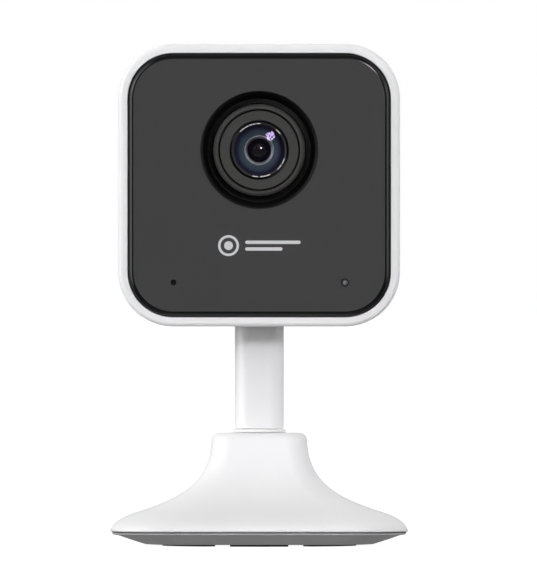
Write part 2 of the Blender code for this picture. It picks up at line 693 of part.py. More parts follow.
def ir_cut():
    """Shuttle with a filter window and a clear window, and the magnet rotor whose pin pushes it across."""
    height = (LENS_Z - 3.3 * MM, LENS_Z + 6.1 * MM)
    frame = block("ir_cut_shuttle", BLACK, (-3.2 * MM, 7.8 * MM), (-2.2 * MM, -1.5 * MM), height)
    windows = ((-2.2 * MM, 2.2 * MM), (2.4 * MM, 6.8 * MM))
    z = about(LENS_Z, 2.2 * MM)
    for index, x in enumerate(windows):
        cut(frame, block(f"shuttle_window_{index}", None, x, (-5 * MM, 5 * MM), z))
    inset = 0.15 * MM
    filter_x = (windows[0][0] + inset, windows[0][1] - inset)
    block("ir_filter_glass", FILTER, filter_x, (-2.05 * MM, -1.65 * MM), (z[0] + inset, z[1] - inset))
    pin_x = ROTOR_X + SHUTTLE_TRAVEL / 2
    drop = math.sqrt(ROTOR_ARM**2 - (SHUTTLE_TRAVEL / 2) ** 2)
    fork_z = (LENS_Z + 3.4 * MM, LENS_Z + 8 * MM)
    cut(frame, block("shuttle_fork", None, about(pin_x, 0.62 * MM), about(0, 5 * MM), fork_z))
    place = (ROTOR_X, 0, ROTOR_Z)
    rotor = rod("ir_cut_rotor", MAGNET, 1.9 * MM, -0.5 * MM, 2.2 * MM, place, "front", MEDIUM)
    arm = block("rotor_arm", None, (-0.55 * MM, 0.55 * MM), (-1.3 * MM, -0.6 * MM), (-ROTOR_ARM, 0))
    swing = math.asin(SHUTTLE_TRAVEL / 2 / ROTOR_ARM)
    arm.matrix_world = Matrix.Translation(place) @ Matrix.Rotation(-swing, 4, "Y")
    pin = rod("rotor_pin", None, 0.48 * MM, 0.65 * MM, 2.2 * MM, (pin_x, 0, ROTOR_Z - drop), "front", SMALL)
    shaft = rod("rotor_shaft", None, 0.7 * MM, 2.0 * MM, 3.0 * MM, place, "front", SMALL)
    join(rotor, arm, pin, shaft)
    rod("ir_cut_coil", COPPER, 1.4 * MM, 4.0 * MM, 8.8 * MM, (0, -0.75 * MM, ROTOR_Z), "right", MEDIUM)
    half = 4.5 * MM
    block("image_sensor", CHIP, about(0, half), (-0.4 * MM, 0.9 * MM), about(LENS_Z, half))


# Electronics.


def boards():
    bottom, top = 60.5 * MM, 104.5 * MM
    main = block("main_board", BOARD, about(0, 26 * MM), BOARD_Y, (bottom, top), corner=1.5 * MM, steps=2)
    front = head_block("front_board", BOARD, 26.3 * MM, 26.4 * MM, FRONT_BOARD_Y, 7.5 * MM, steps=3)
    cut(front, rod("board_lens_hole", None, 13.3 * MM, 10 * MM, 20 * MM, (0, 0, LENS_Z), "front", MEDIUM))
    for index, (x, z) in enumerate(screw_places(BOSS_PITCH, HEAD_Z)):
        notch = rod(f"front_notch_{index}", None, 2.5 * MM, 10 * MM, 20 * MM, (x, 0, z), "front", SMALL)
        cut(front, notch)
        if z > HEAD_Z:
            relief = 4.0 * MM
            corner_z = (z - relief, z + 2 * relief)
            cut(main, block(f"board_relief_{index}", None, about(x, relief), about(0, 5 * MM), corner_z))


def board_parts():
    """Chips and the small parts on both boards."""
    back = BOARD_Y[1] + SEAM
    block("soc_chip", CHIP, (-18 * MM, -6 * MM), (back, back + 1.2 * MM), (78 * MM, 90 * MM))
    plate_y = (back + 1.4 * MM, back + 2.4 * MM)
    plate_z = (74 * MM, 94 * MM)
    block("heat_spreader", ALUMINIUM, (-22 * MM, -2 * MM), plate_y, plate_z, corner=1.5 * MM, steps=2)
    can_y, can_z = (back, back + 2.2 * MM), (61.5 * MM, 72.5 * MM)
    block("wifi_module", STEEL, (-20 * MM, -8 * MM), can_y, can_z, corner=0.5 * MM, steps=2)
    front = FRONT_BOARD_Y[0] - SEAM
    can_y = (front - 0.9 * MM, front)
    block("microphone", STEEL, about(-HOLE_X, 1.5 * MM), can_y, about(HOLE_Z, 2 * MM))
    place = (-HOLE_X, 0, HOLE_Z)
    ring("microphone_boot", RUBBER, 2.0 * MM, 0.8 * MM, 15.7 * MM, 16.2 * MM, place, "front", SMALL)
    chip_y = (front - 0.6 * MM, front)
    block("status_led", CLEAR, about(HOLE_X, 0.8 * MM), chip_y, about(HOLE_Z, 0.5 * MM))
    pipe = in_mm([(0, 18.1), (0.4, 18.1), (0.55, 17.95), (0.55, 16.2), (1.4, 16.2), (1.4, 15.5), (0, 15.5)])
    turned("status_light_pipe", CLEAR, pipe, (HOLE_X, 0, HOLE_Z), "front", SMALL, closed=False)
    for side, name in ((-1, "left"), (1, "right")):
        middle = side * 19.5 * MM
        chip_y = (front - 0.7 * MM, front)
        led = block(f"ir_led_{name}", CLEAR, about(middle, 1.75 * MM), chip_y, about(LENS_Z, 1.4 * MM))
        bead = in_mm([(0, 15.95), (0.7, 15.8), (1.1, 15.4), (1.1, 15.0), (0, 15.0)])
        join(led, turned(f"led_bead_{name}", None, bead, (middle, 0, LENS_Z), "front", SMALL, closed=False))


def sockets():
    """The power socket, the card socket, and the reset switch with its button."""
    back = BOARD_Y[1] + SEAM
    shell_z = about(USB_Z, 1.45 * MM)
    usb = block(
        "usb_socket", STEEL, about(0, 3.8 * MM), (back, 11.3 * MM), shell_z, corner=0.5 * MM, steps=2
    )
    cut(usb, block("usb_cavity", None, about(0, 3.4 * MM), (5 * MM, 15 * MM), about(USB_Z, 1.05 * MM)))
    tongue_z = (USB_Z - 0.1 * MM, USB_Z + 0.5 * MM)
    join(usb, block("usb_tongue", None, about(0, 2 * MM), (4 * MM, 10.3 * MM), tongue_z))
    cage_y = (back, back + 1.7 * MM)
    card = block("card_socket", STEEL, (12.2 * MM, 26.6 * MM), cage_y, CARD_Z, corner=0.5 * MM, steps=2)
    gap = (CARD_Z[0] + 1.2 * MM, CARD_Z[1] - 1.2 * MM)
    cut(card, block("card_cavity", None, (14 * MM, 30 * MM), (back + 0.4 * MM, back + 1.3 * MM), gap))
    switch_y = (back, back + 2.2 * MM)
    switch = block("reset_switch", BLACK, (21.8 * MM, 25.6 * MM), switch_y, about(RESET_Z, 2.4 * MM))
    join(switch, rod("switch_plunger", None, 0.7 * MM, 25 * MM, 26.2 * MM, RESET, "right", SMALL))
    cap = [(0, 30.1), (1.2, 30.1), (1.5, 29.9), (1.5, 28.3)]
    flange = [(2.4, 28.3), (2.4, 27.6), (1.2, 27.6), (1.2, 26.8), (0, 26.8)]
    turned("reset_button", GREY, in_mm(cap + flange), RESET, "right", MEDIUM, closed=False)


def speaker():
    """Driver, gasket and the pierced disc in the rear wall. Heights run forward, so these are negative."""
    place = (0, 0, SPEAKER_Z)
    basket = [(0, -5.2), (6.5, -5.2), (8.5, -7.0), (9.8, -8.0), (9.8, -9.8), (8.8, -9.8)]
    cone = [(6.0, -8.6), (3.0, -8.9), (0, -9.6)]
    turned("speaker", BLACK, in_mm(basket + cone), place, "front", MEDIUM, closed=False)
    ring("speaker_gasket", RUBBER, 9.9 * MM, 8.6 * MM, -10.5 * MM, -9.9 * MM, place, "front", MEDIUM)
    grille = rod("speaker_grille", WHITE, 10.05 * MM, -12.35 * MM, -11.2 * MM, place, "front", ROUND)
    pitch = 3.3 * MM
    phase = 0.35  # keeps the holes off the lines between the disc's facets
    for circle, count in ((0, 1), (1, 6), (2, 12)):
        for index in range(count):
            angle = 2 * math.pi * (index + phase) / count
            middle = (circle * pitch * math.cos(angle), 0, SPEAKER_Z + circle * pitch * math.sin(angle))
            name = f"sound_hole_{circle}_{index}"
            cut(grille, rod(name, None, 0.8 * MM, -15 * MM, -9 * MM, middle, "front", 8))


def antenna():
    block("antenna", COPPER, (-13 * MM, 11 * MM), (-4 * MM, 2 * MM), (105.5 * MM, 105.9 * MM))
    route = [
        (-13.7, 0.0, 105.7),
        (-15.0, 1.8, 105.5),
        (-16.4, 4.6, 103.4),
        (-18.2, 6.2, 98.0),
        (-21.0, 6.7, 92.0),
        (-24.2, 6.7, 86.0),
        (-24.6, 6.6, 78.0),
        (-22.6, 6.2, 71.5),
        (-18.4, 5.8, 68.0),
        (-15.0, 5.2, 67.0),
    ]
    tube_along("antenna_cable", CABLE, [Vector(p) * MM for p in route], 0.55 * MM)


base_shell()
base_pan()
base_weights()
stem()
swivel()
rear_housing()
front_panel()
inner_frame()
head_screws()
hinge_fasteners()
lens()
lens_holder()
ir_cut()
boards()
board_parts()
sockets()
speaker()
antenna()
bpy.context.view_layer.update()
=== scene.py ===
"""The looks of the small security camera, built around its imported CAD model.

Frame: metres, +Z up, the lens looks along -Y. Outer pieces are made here as fine meshes and stand for the
plain CAD solids; inner pieces stay as CAD. Every surface gets a procedural material. Profiles are lists of
(across, along, corner radius) in millimetres. Other sizes are in metres unless they say otherwise.
"""

import json
import math

import bmesh
import bpy
from mathutils import Matrix, Vector


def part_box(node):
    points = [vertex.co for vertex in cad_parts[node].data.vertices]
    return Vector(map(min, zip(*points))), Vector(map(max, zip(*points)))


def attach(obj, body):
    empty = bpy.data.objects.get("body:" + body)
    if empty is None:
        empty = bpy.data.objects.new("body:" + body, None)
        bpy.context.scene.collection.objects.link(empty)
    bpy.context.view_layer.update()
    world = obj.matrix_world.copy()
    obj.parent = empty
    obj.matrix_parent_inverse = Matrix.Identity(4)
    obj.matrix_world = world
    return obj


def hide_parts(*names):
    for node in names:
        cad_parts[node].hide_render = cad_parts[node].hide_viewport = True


MM = 0.001
ARC = 8  # steps in a rounded edge of a profile
CORNER = 20  # steps in one corner of a rounded square
AROUND = 128  # sides of a turned piece
ON_AXIS = 1e-7  # a turned profile's point nearer the axis than this is on it

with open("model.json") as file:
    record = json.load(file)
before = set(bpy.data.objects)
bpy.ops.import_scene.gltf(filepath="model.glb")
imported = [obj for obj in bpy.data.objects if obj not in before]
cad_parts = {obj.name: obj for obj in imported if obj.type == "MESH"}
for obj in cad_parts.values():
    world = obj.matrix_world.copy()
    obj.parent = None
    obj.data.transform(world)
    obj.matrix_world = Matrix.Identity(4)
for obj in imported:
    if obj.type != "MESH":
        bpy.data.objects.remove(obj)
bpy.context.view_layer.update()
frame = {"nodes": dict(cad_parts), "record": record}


def low(node):
    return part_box(node)[0]


def high(node):
    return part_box(node)[1]


def middle(node):
    return (low(node) + high(node)) / 2


# Materials.


def linear(level):
    """The linear value of a display level from 0 to 255."""
    level /= 255
    return level / 12.92 if level <= 0.04045 else ((level + 0.055) / 1.055) ** 2.4


class Look:
    """A Principled material whose node tree is put together step by step."""

    def __init__(self, name, roughness, **sockets):
        self.material = bpy.data.materials.new(name)
        self.material.use_nodes = True
        self.tree = self.material.node_tree
        self.shader = self.tree.nodes["Principled BSDF"]
        self.shader.inputs["Roughness"].default_value = roughness
        for socket, value in sockets.items():
            self.shader.inputs[socket.replace("_", " ")].default_value = value
        self.roughness = roughness
        self.where = self.add("ShaderNodeTexCoord").outputs["Object"]

    def add(self, kind, **settings):
        """A new node of this kind, with these settings."""
        node = self.tree.nodes.new(kind)
        for key, value in settings.items():
            setattr(node, key, value)
        return node

    def link(self, source, target):
        self.tree.links.new(source, target)

    def noise(self, size, detail=2.0):
        """Noise from 0 to 1 whose lumps are about this large, in metres."""
        node = self.add("ShaderNodeTexNoise")
        node.inputs["Scale"].default_value = 1 / size
        node.inputs["Detail"].default_value = detail
        self.link(self.where, node.inputs["Vector"])
        return node.outputs["Fac"]

    def span(self, value, low_out, high_out, low_in=0.3, high_in=0.7):
        """The value carried from one span to another, held at its ends."""
        node = self.add("ShaderNodeMapRange")
        self.link(value, node.inputs["Value"])
        ends = {"From Min": low_in, "From Max": high_in, "To Min": low_out, "To Max": high_out}
        for socket, number in ends.items():
            node.inputs[socket].default_value = number
        return node.outputs["Result"]

    def mix(self, factor, first, second):
        """A colour between two, each a colour or an output."""
        node = self.add("ShaderNodeMix", data_type="RGBA")
        self.link(factor, node.inputs["Factor"])
        for socket, colour in (("A", first), ("B", second)):
            target = [i for i in node.inputs if i.name == socket and i.type == "RGBA"][0]
            if isinstance(colour, bpy.types.NodeSocket):
                self.link(colour, target)
            else:
                target.default_value = (*colour, 1.0)
        return [o for o in node.outputs if o.type == "RGBA"][0]

    def colour(self, output):
        self.link(output, self.shader.inputs["Base Color"])
        return self

    def mottled(self, colour, size, share):
        """The colour, a little darker and lighter in soft patches."""
        darker = tuple(c * (1 - share) for c in colour)
        lighter = tuple(min(1.0, c * (1 + share)) for c in colour)
        return self.mix(self.span(self.noise(size), 0, 1), darker, lighter)

    def rough(self, size, spread):
        """Roughness that wanders, as a handled or moulded surface has."""
        value = self.span(self.noise(size, 4.0), self.roughness - spread, self.roughness + spread)
        self.link(value, self.shader.inputs["Roughness"])
        return self

    def relief(self, height, depth, strength=1.0):
        """Bump from a 0 to 1 output, this deep in metres."""
        bump = self.add("ShaderNodeBump")
        bump.inputs["Strength"].default_value = strength
        bump.inputs["Distance"].default_value = depth
        self.link(height, bump.inputs["Height"])
        self.link(bump.outputs["Normal"], self.shader.inputs["Normal"])
        return self


def moulded(name, colour, roughness, grain, depth, share=0.02, **sockets):
    """Moulded plastic: a fine sparked grain, soft variation in gloss and a trace in colour."""
    look = Look(name, roughness, **sockets)
    look.colour(look.mottled(colour, 14 * MM, share)).rough(5 * MM, 0.04)
    return look.relief(look.noise(grain, 3.0), depth, 0.6).material


def polished(name, colour, roughness, **sockets):
    """A polished surface with no relief, only faint patches."""
    look = Look(name, roughness, **sockets)
    return look.colour(look.mottled(colour, 4 * MM, 0.05)).material


def metal(name, colour, roughness, stretch=(1, 1, 12)):
    """Metal with faint drawn lines along one axis."""
    look = Look(name, roughness, Metallic=1.0)
    mapping = look.add("ShaderNodeMapping")
    mapping.inputs["Scale"].default_value = stretch
    look.link(look.where, mapping.inputs["Vector"])
    look.where = mapping.outputs["Vector"]
    look.colour(look.mottled(colour, 2 * MM, 0.06)).rough(0.8 * MM, 0.07)
    return look.relief(look.noise(0.25 * MM), 0.004 * MM, 0.5).material


def circuit_board():
    """Green solder mask over straight copper tracks, with plated dots."""
    solder_mask, over_copper, plating = (0.008, 0.075, 0.035), (0.02, 0.16, 0.07), (0.5, 0.42, 0.25)
    look = Look("circuit_board", 0.35, Coat_Weight=0.3)
    brick = look.add("ShaderNodeTexBrick", offset=0.37)
    brick.inputs["Scale"].default_value = 1 / (9 * MM)
    brick.inputs["Mortar Size"].default_value = 0.018
    turn = look.add("ShaderNodeMapping")
    turn.inputs["Rotation"].default_value = (math.radians(90), 0, 0)
    look.link(look.where, turn.inputs["Vector"])
    look.link(turn.outputs["Vector"], brick.inputs["Vector"])
    dots = look.add("ShaderNodeTexVoronoi")
    dots.inputs["Scale"].default_value = 1 / (2.4 * MM)
    look.link(look.where, dots.inputs["Vector"])
    is_dot = look.span(dots.outputs["Distance"], 1, 0, 0.1, 0.14)
    mask = look.mottled(solder_mask, 6 * MM, 0.15)
    tracks = look.mix(brick.outputs["Fac"], mask, over_copper)
    look.colour(look.mix(is_dot, tracks, plating))
    return look.relief(brick.outputs["Fac"], 0.03 * MM, 0.5).material


def coil_copper():
    """Close turns of enamelled wire."""
    between_turns, on_turns = (0.35, 0.13, 0.05), (0.8, 0.38, 0.17)
    look = Look("copper_winding", 0.3, Metallic=1.0)
    wave = look.add("ShaderNodeTexWave", bands_direction="X")
    wave.inputs["Scale"].default_value = 1 / (1.2 * MM)
    look.link(look.where, wave.inputs["Vector"])
    look.colour(look.mix(wave.outputs["Fac"], between_turns, on_turns))
    return look.relief(wave.outputs["Fac"], 0.04 * MM).material


def see_through(name, tint, roughness, veil, **sockets):
    """Clear glass or plastic: the tinted surface reflects by a share that starts at the veil seen straight on
    and grows towards the edge, and what is behind shows through the rest."""
    straight_on = 0.02  # the Fresnel value of a surface seen straight on
    look = Look(name, roughness, **sockets)
    look.colour(look.mottled(tint, 3 * MM, 0.05))
    clear = look.add("ShaderNodeBsdfTransparent")
    blend = look.add("ShaderNodeMixShader")
    fresnel = look.add("ShaderNodeLayerWeight")
    fresnel.inputs["Blend"].default_value = 0.25
    look.link(look.span(fresnel.outputs["Fresnel"], veil, 1.0, straight_on, 1.0), blend.inputs[0])
    look.link(clear.outputs[0], blend.inputs[1])
    look.link(look.shader.outputs[0], blend.inputs[2])
    look.link(blend.outputs[0], look.tree.nodes["Material Output"].inputs["Surface"])
    return look.material


def funnel_painted_reflection(centre, painted_hues):
    """The lens's inner wall, in bands of colour about the lens axis that paint the coated glass's tinted
    reflections: (radius in metres, colour).
    """
    cloud = (0.02, 0.02, 0.05)
    cloud_share = 0.25
    look = Look("lens_coating_painted_reflection", 0.3, Specular_IOR_Level=0.2)
    shift = look.add("ShaderNodeVectorMath", operation="SUBTRACT")
    look.link(look.where, shift.inputs[0])
    shift.inputs[1].default_value = centre
    flat = look.add("ShaderNodeVectorMath", operation="MULTIPLY")
    look.link(shift.outputs[0], flat.inputs[0])
    flat.inputs[1].default_value = (1, 0, 1)
    length = look.add("ShaderNodeVectorMath", operation="LENGTH")
    look.link(flat.outputs[0], length.inputs[0])
    outermost = painted_hues[-1][0]
    ramp = look.add("ShaderNodeValToRGB")
    ramp.color_ramp.interpolation = "EASE"
    while len(ramp.color_ramp.elements) < len(painted_hues):
        ramp.color_ramp.elements.new(0.5)
    for stop, (radius, colour) in zip(ramp.color_ramp.elements, painted_hues):
        stop.position = radius / outermost
        stop.color = (*colour, 1.0)
    look.link(look.span(length.outputs["Value"], 0, 1, 0, outermost), ramp.inputs["Fac"])
    look.colour(look.mix(look.span(look.noise(2 * MM), 0, cloud_share), ramp.outputs["Color"], cloud))
    return look.material


LENS = Vector((0, 0, middle("lens_barrel").z))

PRINT_GREY = linear(205)

# Moulded plastics: name, colour, roughness, size of the grain, its depth, share of mottling.
WHITE = moulded("white_plastic", (0.85, 0.85, 0.85), 0.38, 0.22 * MM, 0.0014 * MM, 0.008, Coat_Weight=0.12)
GREY = moulded("grey_plastic", (0.72, 0.72, 0.725), 0.5, 0.3 * MM, 0.012 * MM, 0.03)
# The panel is one glossy black. The face's dark grey is a painted reflection of the bright surround, and the
# edge keeps the plain black.
PANEL_FACE_PAINTED_REFLECTION = moulded(
    "charcoal_panel", (0.043, 0.043, 0.0433), 0.5, 0.35 * MM, 0.001 * MM, 0.02, Specular_IOR_Level=0.2
)
PANEL_EDGE = moulded(
    "panel_edge_black", (0.0035, 0.0035, 0.0036), 0.12, 0.5 * MM, 0.001 * MM, Specular_IOR_Level=0.32
)
BLACK = moulded("black_plastic", (0.004, 0.004, 0.004), 0.45, 0.25 * MM, 0.008 * MM, Specular_IOR_Level=0.2)
BARREL = moulded(
    "barrel_black", (0.05, 0.0495, 0.048), 0.5, 0.18 * MM, 0.004 * MM, 0.03, Specular_IOR_Level=0.12
)
LENS_RING = moulded(
    "lens_ring_black", (0.02, 0.019, 0.022), 0.4, 0.2 * MM, 0.002 * MM, Specular_IOR_Level=0.2
)
RUBBER = moulded("rubber", (0.012, 0.012, 0.012), 0.75, 0.2 * MM, 0.02 * MM, 0.1)
CHIP = moulded("chip_black", (0.018, 0.018, 0.02), 0.45, 0.15 * MM, 0.01 * MM, 0.1)
JACKET = moulded("cable_jacket", (0.03, 0.03, 0.03), 0.5, 0.4 * MM, 0.01 * MM, 0.05)
INK = moulded("panel_print", (PRINT_GREY, PRINT_GREY, PRINT_GREY), 0.5, 0.2 * MM, 0.002 * MM)

# Metals: name, colour, roughness, how the drawn lines are squeezed on each axis.
STEEL = metal("steel", (0.52, 0.52, 0.53), 0.32)
NICKEL = metal("magnet_nickel", (0.62, 0.6, 0.56), 0.22, (1, 1, 1))
ALUMINIUM = metal("aluminium", (0.72, 0.72, 0.73), 0.42, (12, 1, 1))

# Glass and polished pieces: name, colour, roughness, and for clear ones the veil.
GLASS = see_through("lens_glass", (0.68, 0.5, 1.0), 0.045, 0.018, Metallic=1.0)
CLEAR = see_through("clear_plastic", (0.32, 0.32, 0.33), 0.15, 0.55)
FILTER = see_through("filter_glass", (0.15, 0.45, 0.5), 0.05, 0.4)
STOP = polished("lens_stop_metal", (0.3, 0.33, 0.35), 0.36, Metallic=1.0)
INNER_GLASS = polished("lens_inner_glass", (0.0008, 0.0018, 0.0014), 0.12, Specular_IOR_Level=0.5)
# The funnel's colour bands are painted reflections of the lens coating's tints, near black at the axis.
COATING_PAINTED_REFLECTION = funnel_painted_reflection(
    LENS,
    [
        (2.4 * MM, (0.001, 0.002, 0.002)),
        (2.7 * MM, (0.08, 0.12, 0.13)),
        (3.6 * MM, (0.065, 0.105, 0.12)),
        (4.4 * MM, (0.045, 0.075, 0.1)),
        (5.0 * MM, (0.018, 0.02, 0.04)),
        (5.6 * MM, (0.045, 0.04, 0.046)),
    ],
)

BY_SLOT = {
    "white_plastic": WHITE,
    "grey_plastic": GREY,
    "charcoal_panel": PANEL_FACE_PAINTED_REFLECTION,
    "black_plastic": BLACK,
    "barrel_black": BARREL,
    "lens_glass": GLASS,
    "rubber": RUBBER,
    "steel": STEEL,
    "magnet_nickel": NICKEL,
    "aluminium": ALUMINIUM,
    "copper_winding": coil_copper(),
    "circuit_board": circuit_board(),
    "chip_black": CHIP,
    "clear_plastic": CLEAR,
    "filter_glass": FILTER,
    "cable_jacket": JACKET,
}
SLOT_OF = {part["node"]: part["material_slot"] for part in frame["record"]["subparts"]}
for node_name, node_object in frame["nodes"].items():
    node_object.data.materials.clear()
    node_object.data.materials.append(BY_SLOT[SLOT_OF[node_name]])


# Mesh building.


def soft_profile(corners, steps=ARC):
    """A line of (a, b, radius) corners, in millimetres, as points in metres with each corner rounded."""
    points = []
    places = [Vector((a, b)) for a, b, _ in corners]
    for i, (a, b, radius) in enumerate(corners):
        here = places[i]
        if radius == 0 or i in (0, len(corners) - 1):
            points.append(here * MM)
            continue
        to_before = (places[i - 1] - here).normalized()
        to_after = (places[i + 1] - here).normalized()
        opening = to_before.angle(to_after)
        reach = radius / math.tan(opening / 2)
        centre = here + (to_before + to_after).normalized() * (radius / math.sin(opening / 2))
        start = here + to_before * reach - centre
        end = here + to_after * reach - centre
        sweep = start.angle_signed(end)
        for step in range(steps + 1):
            turn = Matrix.Rotation(-sweep * step / steps, 2)
            points.append((centre + turn @ start) * MM)
    return points


def rounded_square(half_w, half_h, corner):
    """Points around a rounded rectangle, as (across, up) pairs."""
    points = []
    for quarter, (side_a, side_b) in enumerate(((1, 1), (-1, 1), (-1, -1), (1, -1))):
        for step in range(CORNER + 1):
            angle = (quarter + step / CORNER) * math.pi / 2
            points.append(
                (
                    side_a * (half_w - corner) + corner * math.cos(angle),
                    side_b * (half_h - corner) + corner * math.sin(angle),
                )
            )
    return points


def circle(radius):
    """As many points around a circle as a rounded square has, matched to its corners."""
    return rounded_square(radius, radius, radius)


def skin(rings, looped=False):
    """Quads between rings of points. Looped joins the last to the first; otherwise both ends are closed."""
    bm = bmesh.new()
    made = [[bm.verts.new(p) for p in ring] for ring in rings]
    pairs = list(zip(made, made[1:]))
    if looped:
        pairs.append((made[-1], made[0]))
    for first, second in pairs:
        for i, corner in enumerate(first):
            j = (i + 1) % len(first)
            bm.faces.new((corner, first[j], second[j], second[i]))
    if not looped:
        bm.faces.new(made[0])
        bm.faces.new(made[-1])
    bmesh.ops.recalc_face_normals(bm, faces=bm.faces)
    return bm


def lathe(profile, centre, axis, sides=AROUND, looped=True):
    """A profile of (radius, height) points turned about an axis. Heights run to -Y on the axis 'front', to +X
    on 'right' and to +Z on 'up'. Looped joins the profile's last point to its first."""
    out = {"front": Vector((0, -1, 0)), "right": Vector((1, 0, 0)), "up": Vector((0, 0, 1))}[axis]
    side = Vector((0, 0, 1)) if axis == "right" else Vector((1, 0, 0))
    other = out.cross(side)
    bm = bmesh.new()
    rings = []
    for radius, height in profile:
        foot = Vector(centre) + out * height
        if radius < ON_AXIS:
            rings.append([bm.verts.new(foot)])
            continue
        ring = []
        for i in range(sides):
            angle = 2 * math.pi * i / sides
            ring.append(bm.verts.new(foot + (side * math.cos(angle) + other * math.sin(angle)) * radius))
        rings.append(ring)
    pairs = list(zip(rings, rings[1:]))
    if looped:
        pairs.append((rings[-1], rings[0]))
    for first, second in pairs:
        count = max(len(first), len(second))
        for i in range(count):
            j = (i + 1) % count
            corners = [ring[k % len(ring)] for ring, k in ((first, i), (first, j), (second, j), (second, i))]
            distinct = list(dict.fromkeys(corners))
            if len(distinct) > 2:
                bm.faces.new(distinct)
    bmesh.ops.recalc_face_normals(bm, faces=bm.faces)
    return bm


def solid(name, bm, look, body=None, stands_for=(), sharp=32, bevel=0.0, cutters=(), joined=()):
    """The bmesh as a finished piece: joined and cut, its edges eased, and riding on its body.

    An edge whose faces turn by more than sharp, in degrees, is kept sharp, or eased where there is a bevel.
    """
    mesh = bpy.data.meshes.new(name)
    bm.to_mesh(mesh)
    bm.free()
    if look:
        mesh.materials.append(look)
    mesh.shade_smooth()
    mesh.set_sharp_from_angle(angle=math.radians(sharp))
    piece = bpy.data.objects.new(name, mesh)
    bpy.context.scene.collection.objects.link(piece)
    for tools, operation in ((joined, "UNION"), (cutters, "DIFFERENCE")):
        for tool in tools:
            change = piece.modifiers.new(tool.name, "BOOLEAN")
            change.operation = operation
            change.object = tool
            change.solver = "EXACT"
    if cutters or joined:
        bake(piece)
        for tool in (*joined, *cutters):
            bpy.data.objects.remove(tool)
        piece.data.shade_smooth()
        piece.data.set_sharp_from_angle(angle=math.radians(sharp))
    if bevel:
        ease = piece.modifiers.new("ease", "BEVEL")
        ease.width = bevel
        ease.segments = 3
        ease.limit_method = "ANGLE"
        ease.angle_limit = math.radians(sharp)
    weigh = piece.modifiers.new("normals", "WEIGHTED_NORMAL")
    weigh.keep_sharp = not bevel
    bake(piece)
    if body:
        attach(piece, body)
    if stands_for:
        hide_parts(*stands_for)
    return piece


def bake(piece):
    """Applies the piece's modifiers to its mesh."""
    bpy.context.view_layer.update()
    graph = bpy.context.evaluated_depsgraph_get()
    mesh = bpy.data.meshes.new_from_object(piece.evaluated_get(graph), depsgraph=graph)
    piece.modifiers.clear()
    piece.data = mesh


def tool(name, bm):
    """A solid for a Boolean, which removes it once it has been used."""
    return solid(name, bm, None)


def box_tool(name, x, y, z, corner=0.0, along=1):
    """A cutter over three spans, the four edges along one axis rounded."""
    spans = (x, y, z)
    across, up = [i for i in range(3) if i != along]
    half = [(b - a) / 2 for a, b in spans]
    mid = [(a + b) / 2 for a, b in spans]
    if corner == 0:
        signs = ((1, 1), (-1, 1), (-1, -1), (1, -1))
        outline = [(sign_a * half[across], sign_b * half[up]) for sign_a, sign_b in signs]
    else:
        outline = rounded_square(half[across], half[up], corner)
    rings = []
    for end in spans[along]:
        ring = []
        for a, b in outline:
            point = [0.0, 0.0, 0.0]
            point[across], point[up], point[along] = mid[across] + a, mid[up] + b, end
            ring.append(Vector(point))
        rings.append(ring)
    return tool(name, skin(rings))


def rod_tool(name, radius, start, end, centre, axis, sides=64):
    """A cutter from one height to another along an axis."""
    profile = [(0, end), (radius, end), (radius, start), (0, start)]
    return tool(name, lathe(profile, centre, axis, sides, looped=False))


# Head housing.

HOUSING_LOW, HOUSING_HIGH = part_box("rear_housing")
HEAD_HALF_W = HOUSING_HIGH.x
HEAD_HALF_H = (HOUSING_HIGH.z - HOUSING_LOW.z) / 2
HEAD_Z = middle("rear_housing").z
HEAD_CORNER = 11.8 * MM
LIP = 1.97 * MM  # width of the white border around the panel
HINGE = Vector((0, 0, middle("hinge_screw").z))
SLOT_HALF_W = 5.75 * MM  # the slot that the stem's top goes into
SLOT_FRONT = -7.6 * MM
SLOT_ROOF = 56.9 * MM
SLOT_WALL = 1.6 * MM


def head_ring(inset, y):
    """A ring around the head, moved in from its outline, at a depth."""
    outline = rounded_square(HEAD_HALF_W - inset, HEAD_HALF_H - inset, max(HEAD_CORNER - inset, 0.3 * MM))
    return [Vector((a, y, HEAD_Z + b)) for a, b in outline]


def housing():
    """The white box with the stem's slot, the hinge's hub, and the openings at the back and the side."""
    front, rear = HOUSING_LOW.y / MM, HOUSING_HIGH.y / MM
    lip = LIP / MM
    inner_rear = rear - 1.8
    outside = [
        (6.0, rear, 0),
        (0, rear, 4.2),
        (0, front, 0.9),
        (lip, front, 0.14),
        (lip, front + 2.5, 0),
        (lip + 0.15, inner_rear, 2.0),
        (6.0, inner_rear, 0),
    ]
    rings = [head_ring(inset, y) for inset, y in soft_profile(outside, 10)]
    joined = hinge_walls(inner_rear * MM)
    cutters = [*hinge_cuts(rear * MM), *rear_cuts(rear * MM), *side_cuts()]
    solid(
        "housing",
        skin(rings),
        WHITE,
        "head",
        ["rear_housing"],
        bevel=0.18 * MM,
        joined=joined,
        cutters=cutters,
    )


def hinge_walls(inner_rear):
    """The walls around the stem's slot, and the hub that holds the hinge screw."""
    tunnel = box_tool(
        "tunnel",
        (-SLOT_HALF_W - SLOT_WALL, SLOT_HALF_W + SLOT_WALL),
        (SLOT_FRONT - SLOT_WALL, inner_rear + 0.8 * MM),
        (HOUSING_LOW.z + 0.7 * MM, SLOT_ROOF + SLOT_WALL),
    )
    return [tunnel, rod_tool("hub", 3.1 * MM, -8 * MM, 8 * MM, HINGE, "right")]


def hinge_cuts(rear):
    """The stem's slot, open below and behind, and the hinge screw's bore."""
    slot = box_tool(
        "slot",
        (-SLOT_HALF_W, SLOT_HALF_W),
        (SLOT_FRONT, rear + 5 * MM),
        (HOUSING_LOW.z - 5 * MM, SLOT_ROOF),
        corner=1.2 * MM,
    )
    return [slot, rod_tool("pin", 1.4 * MM, -12 * MM, 12 * MM, HINGE, "right", 48)]


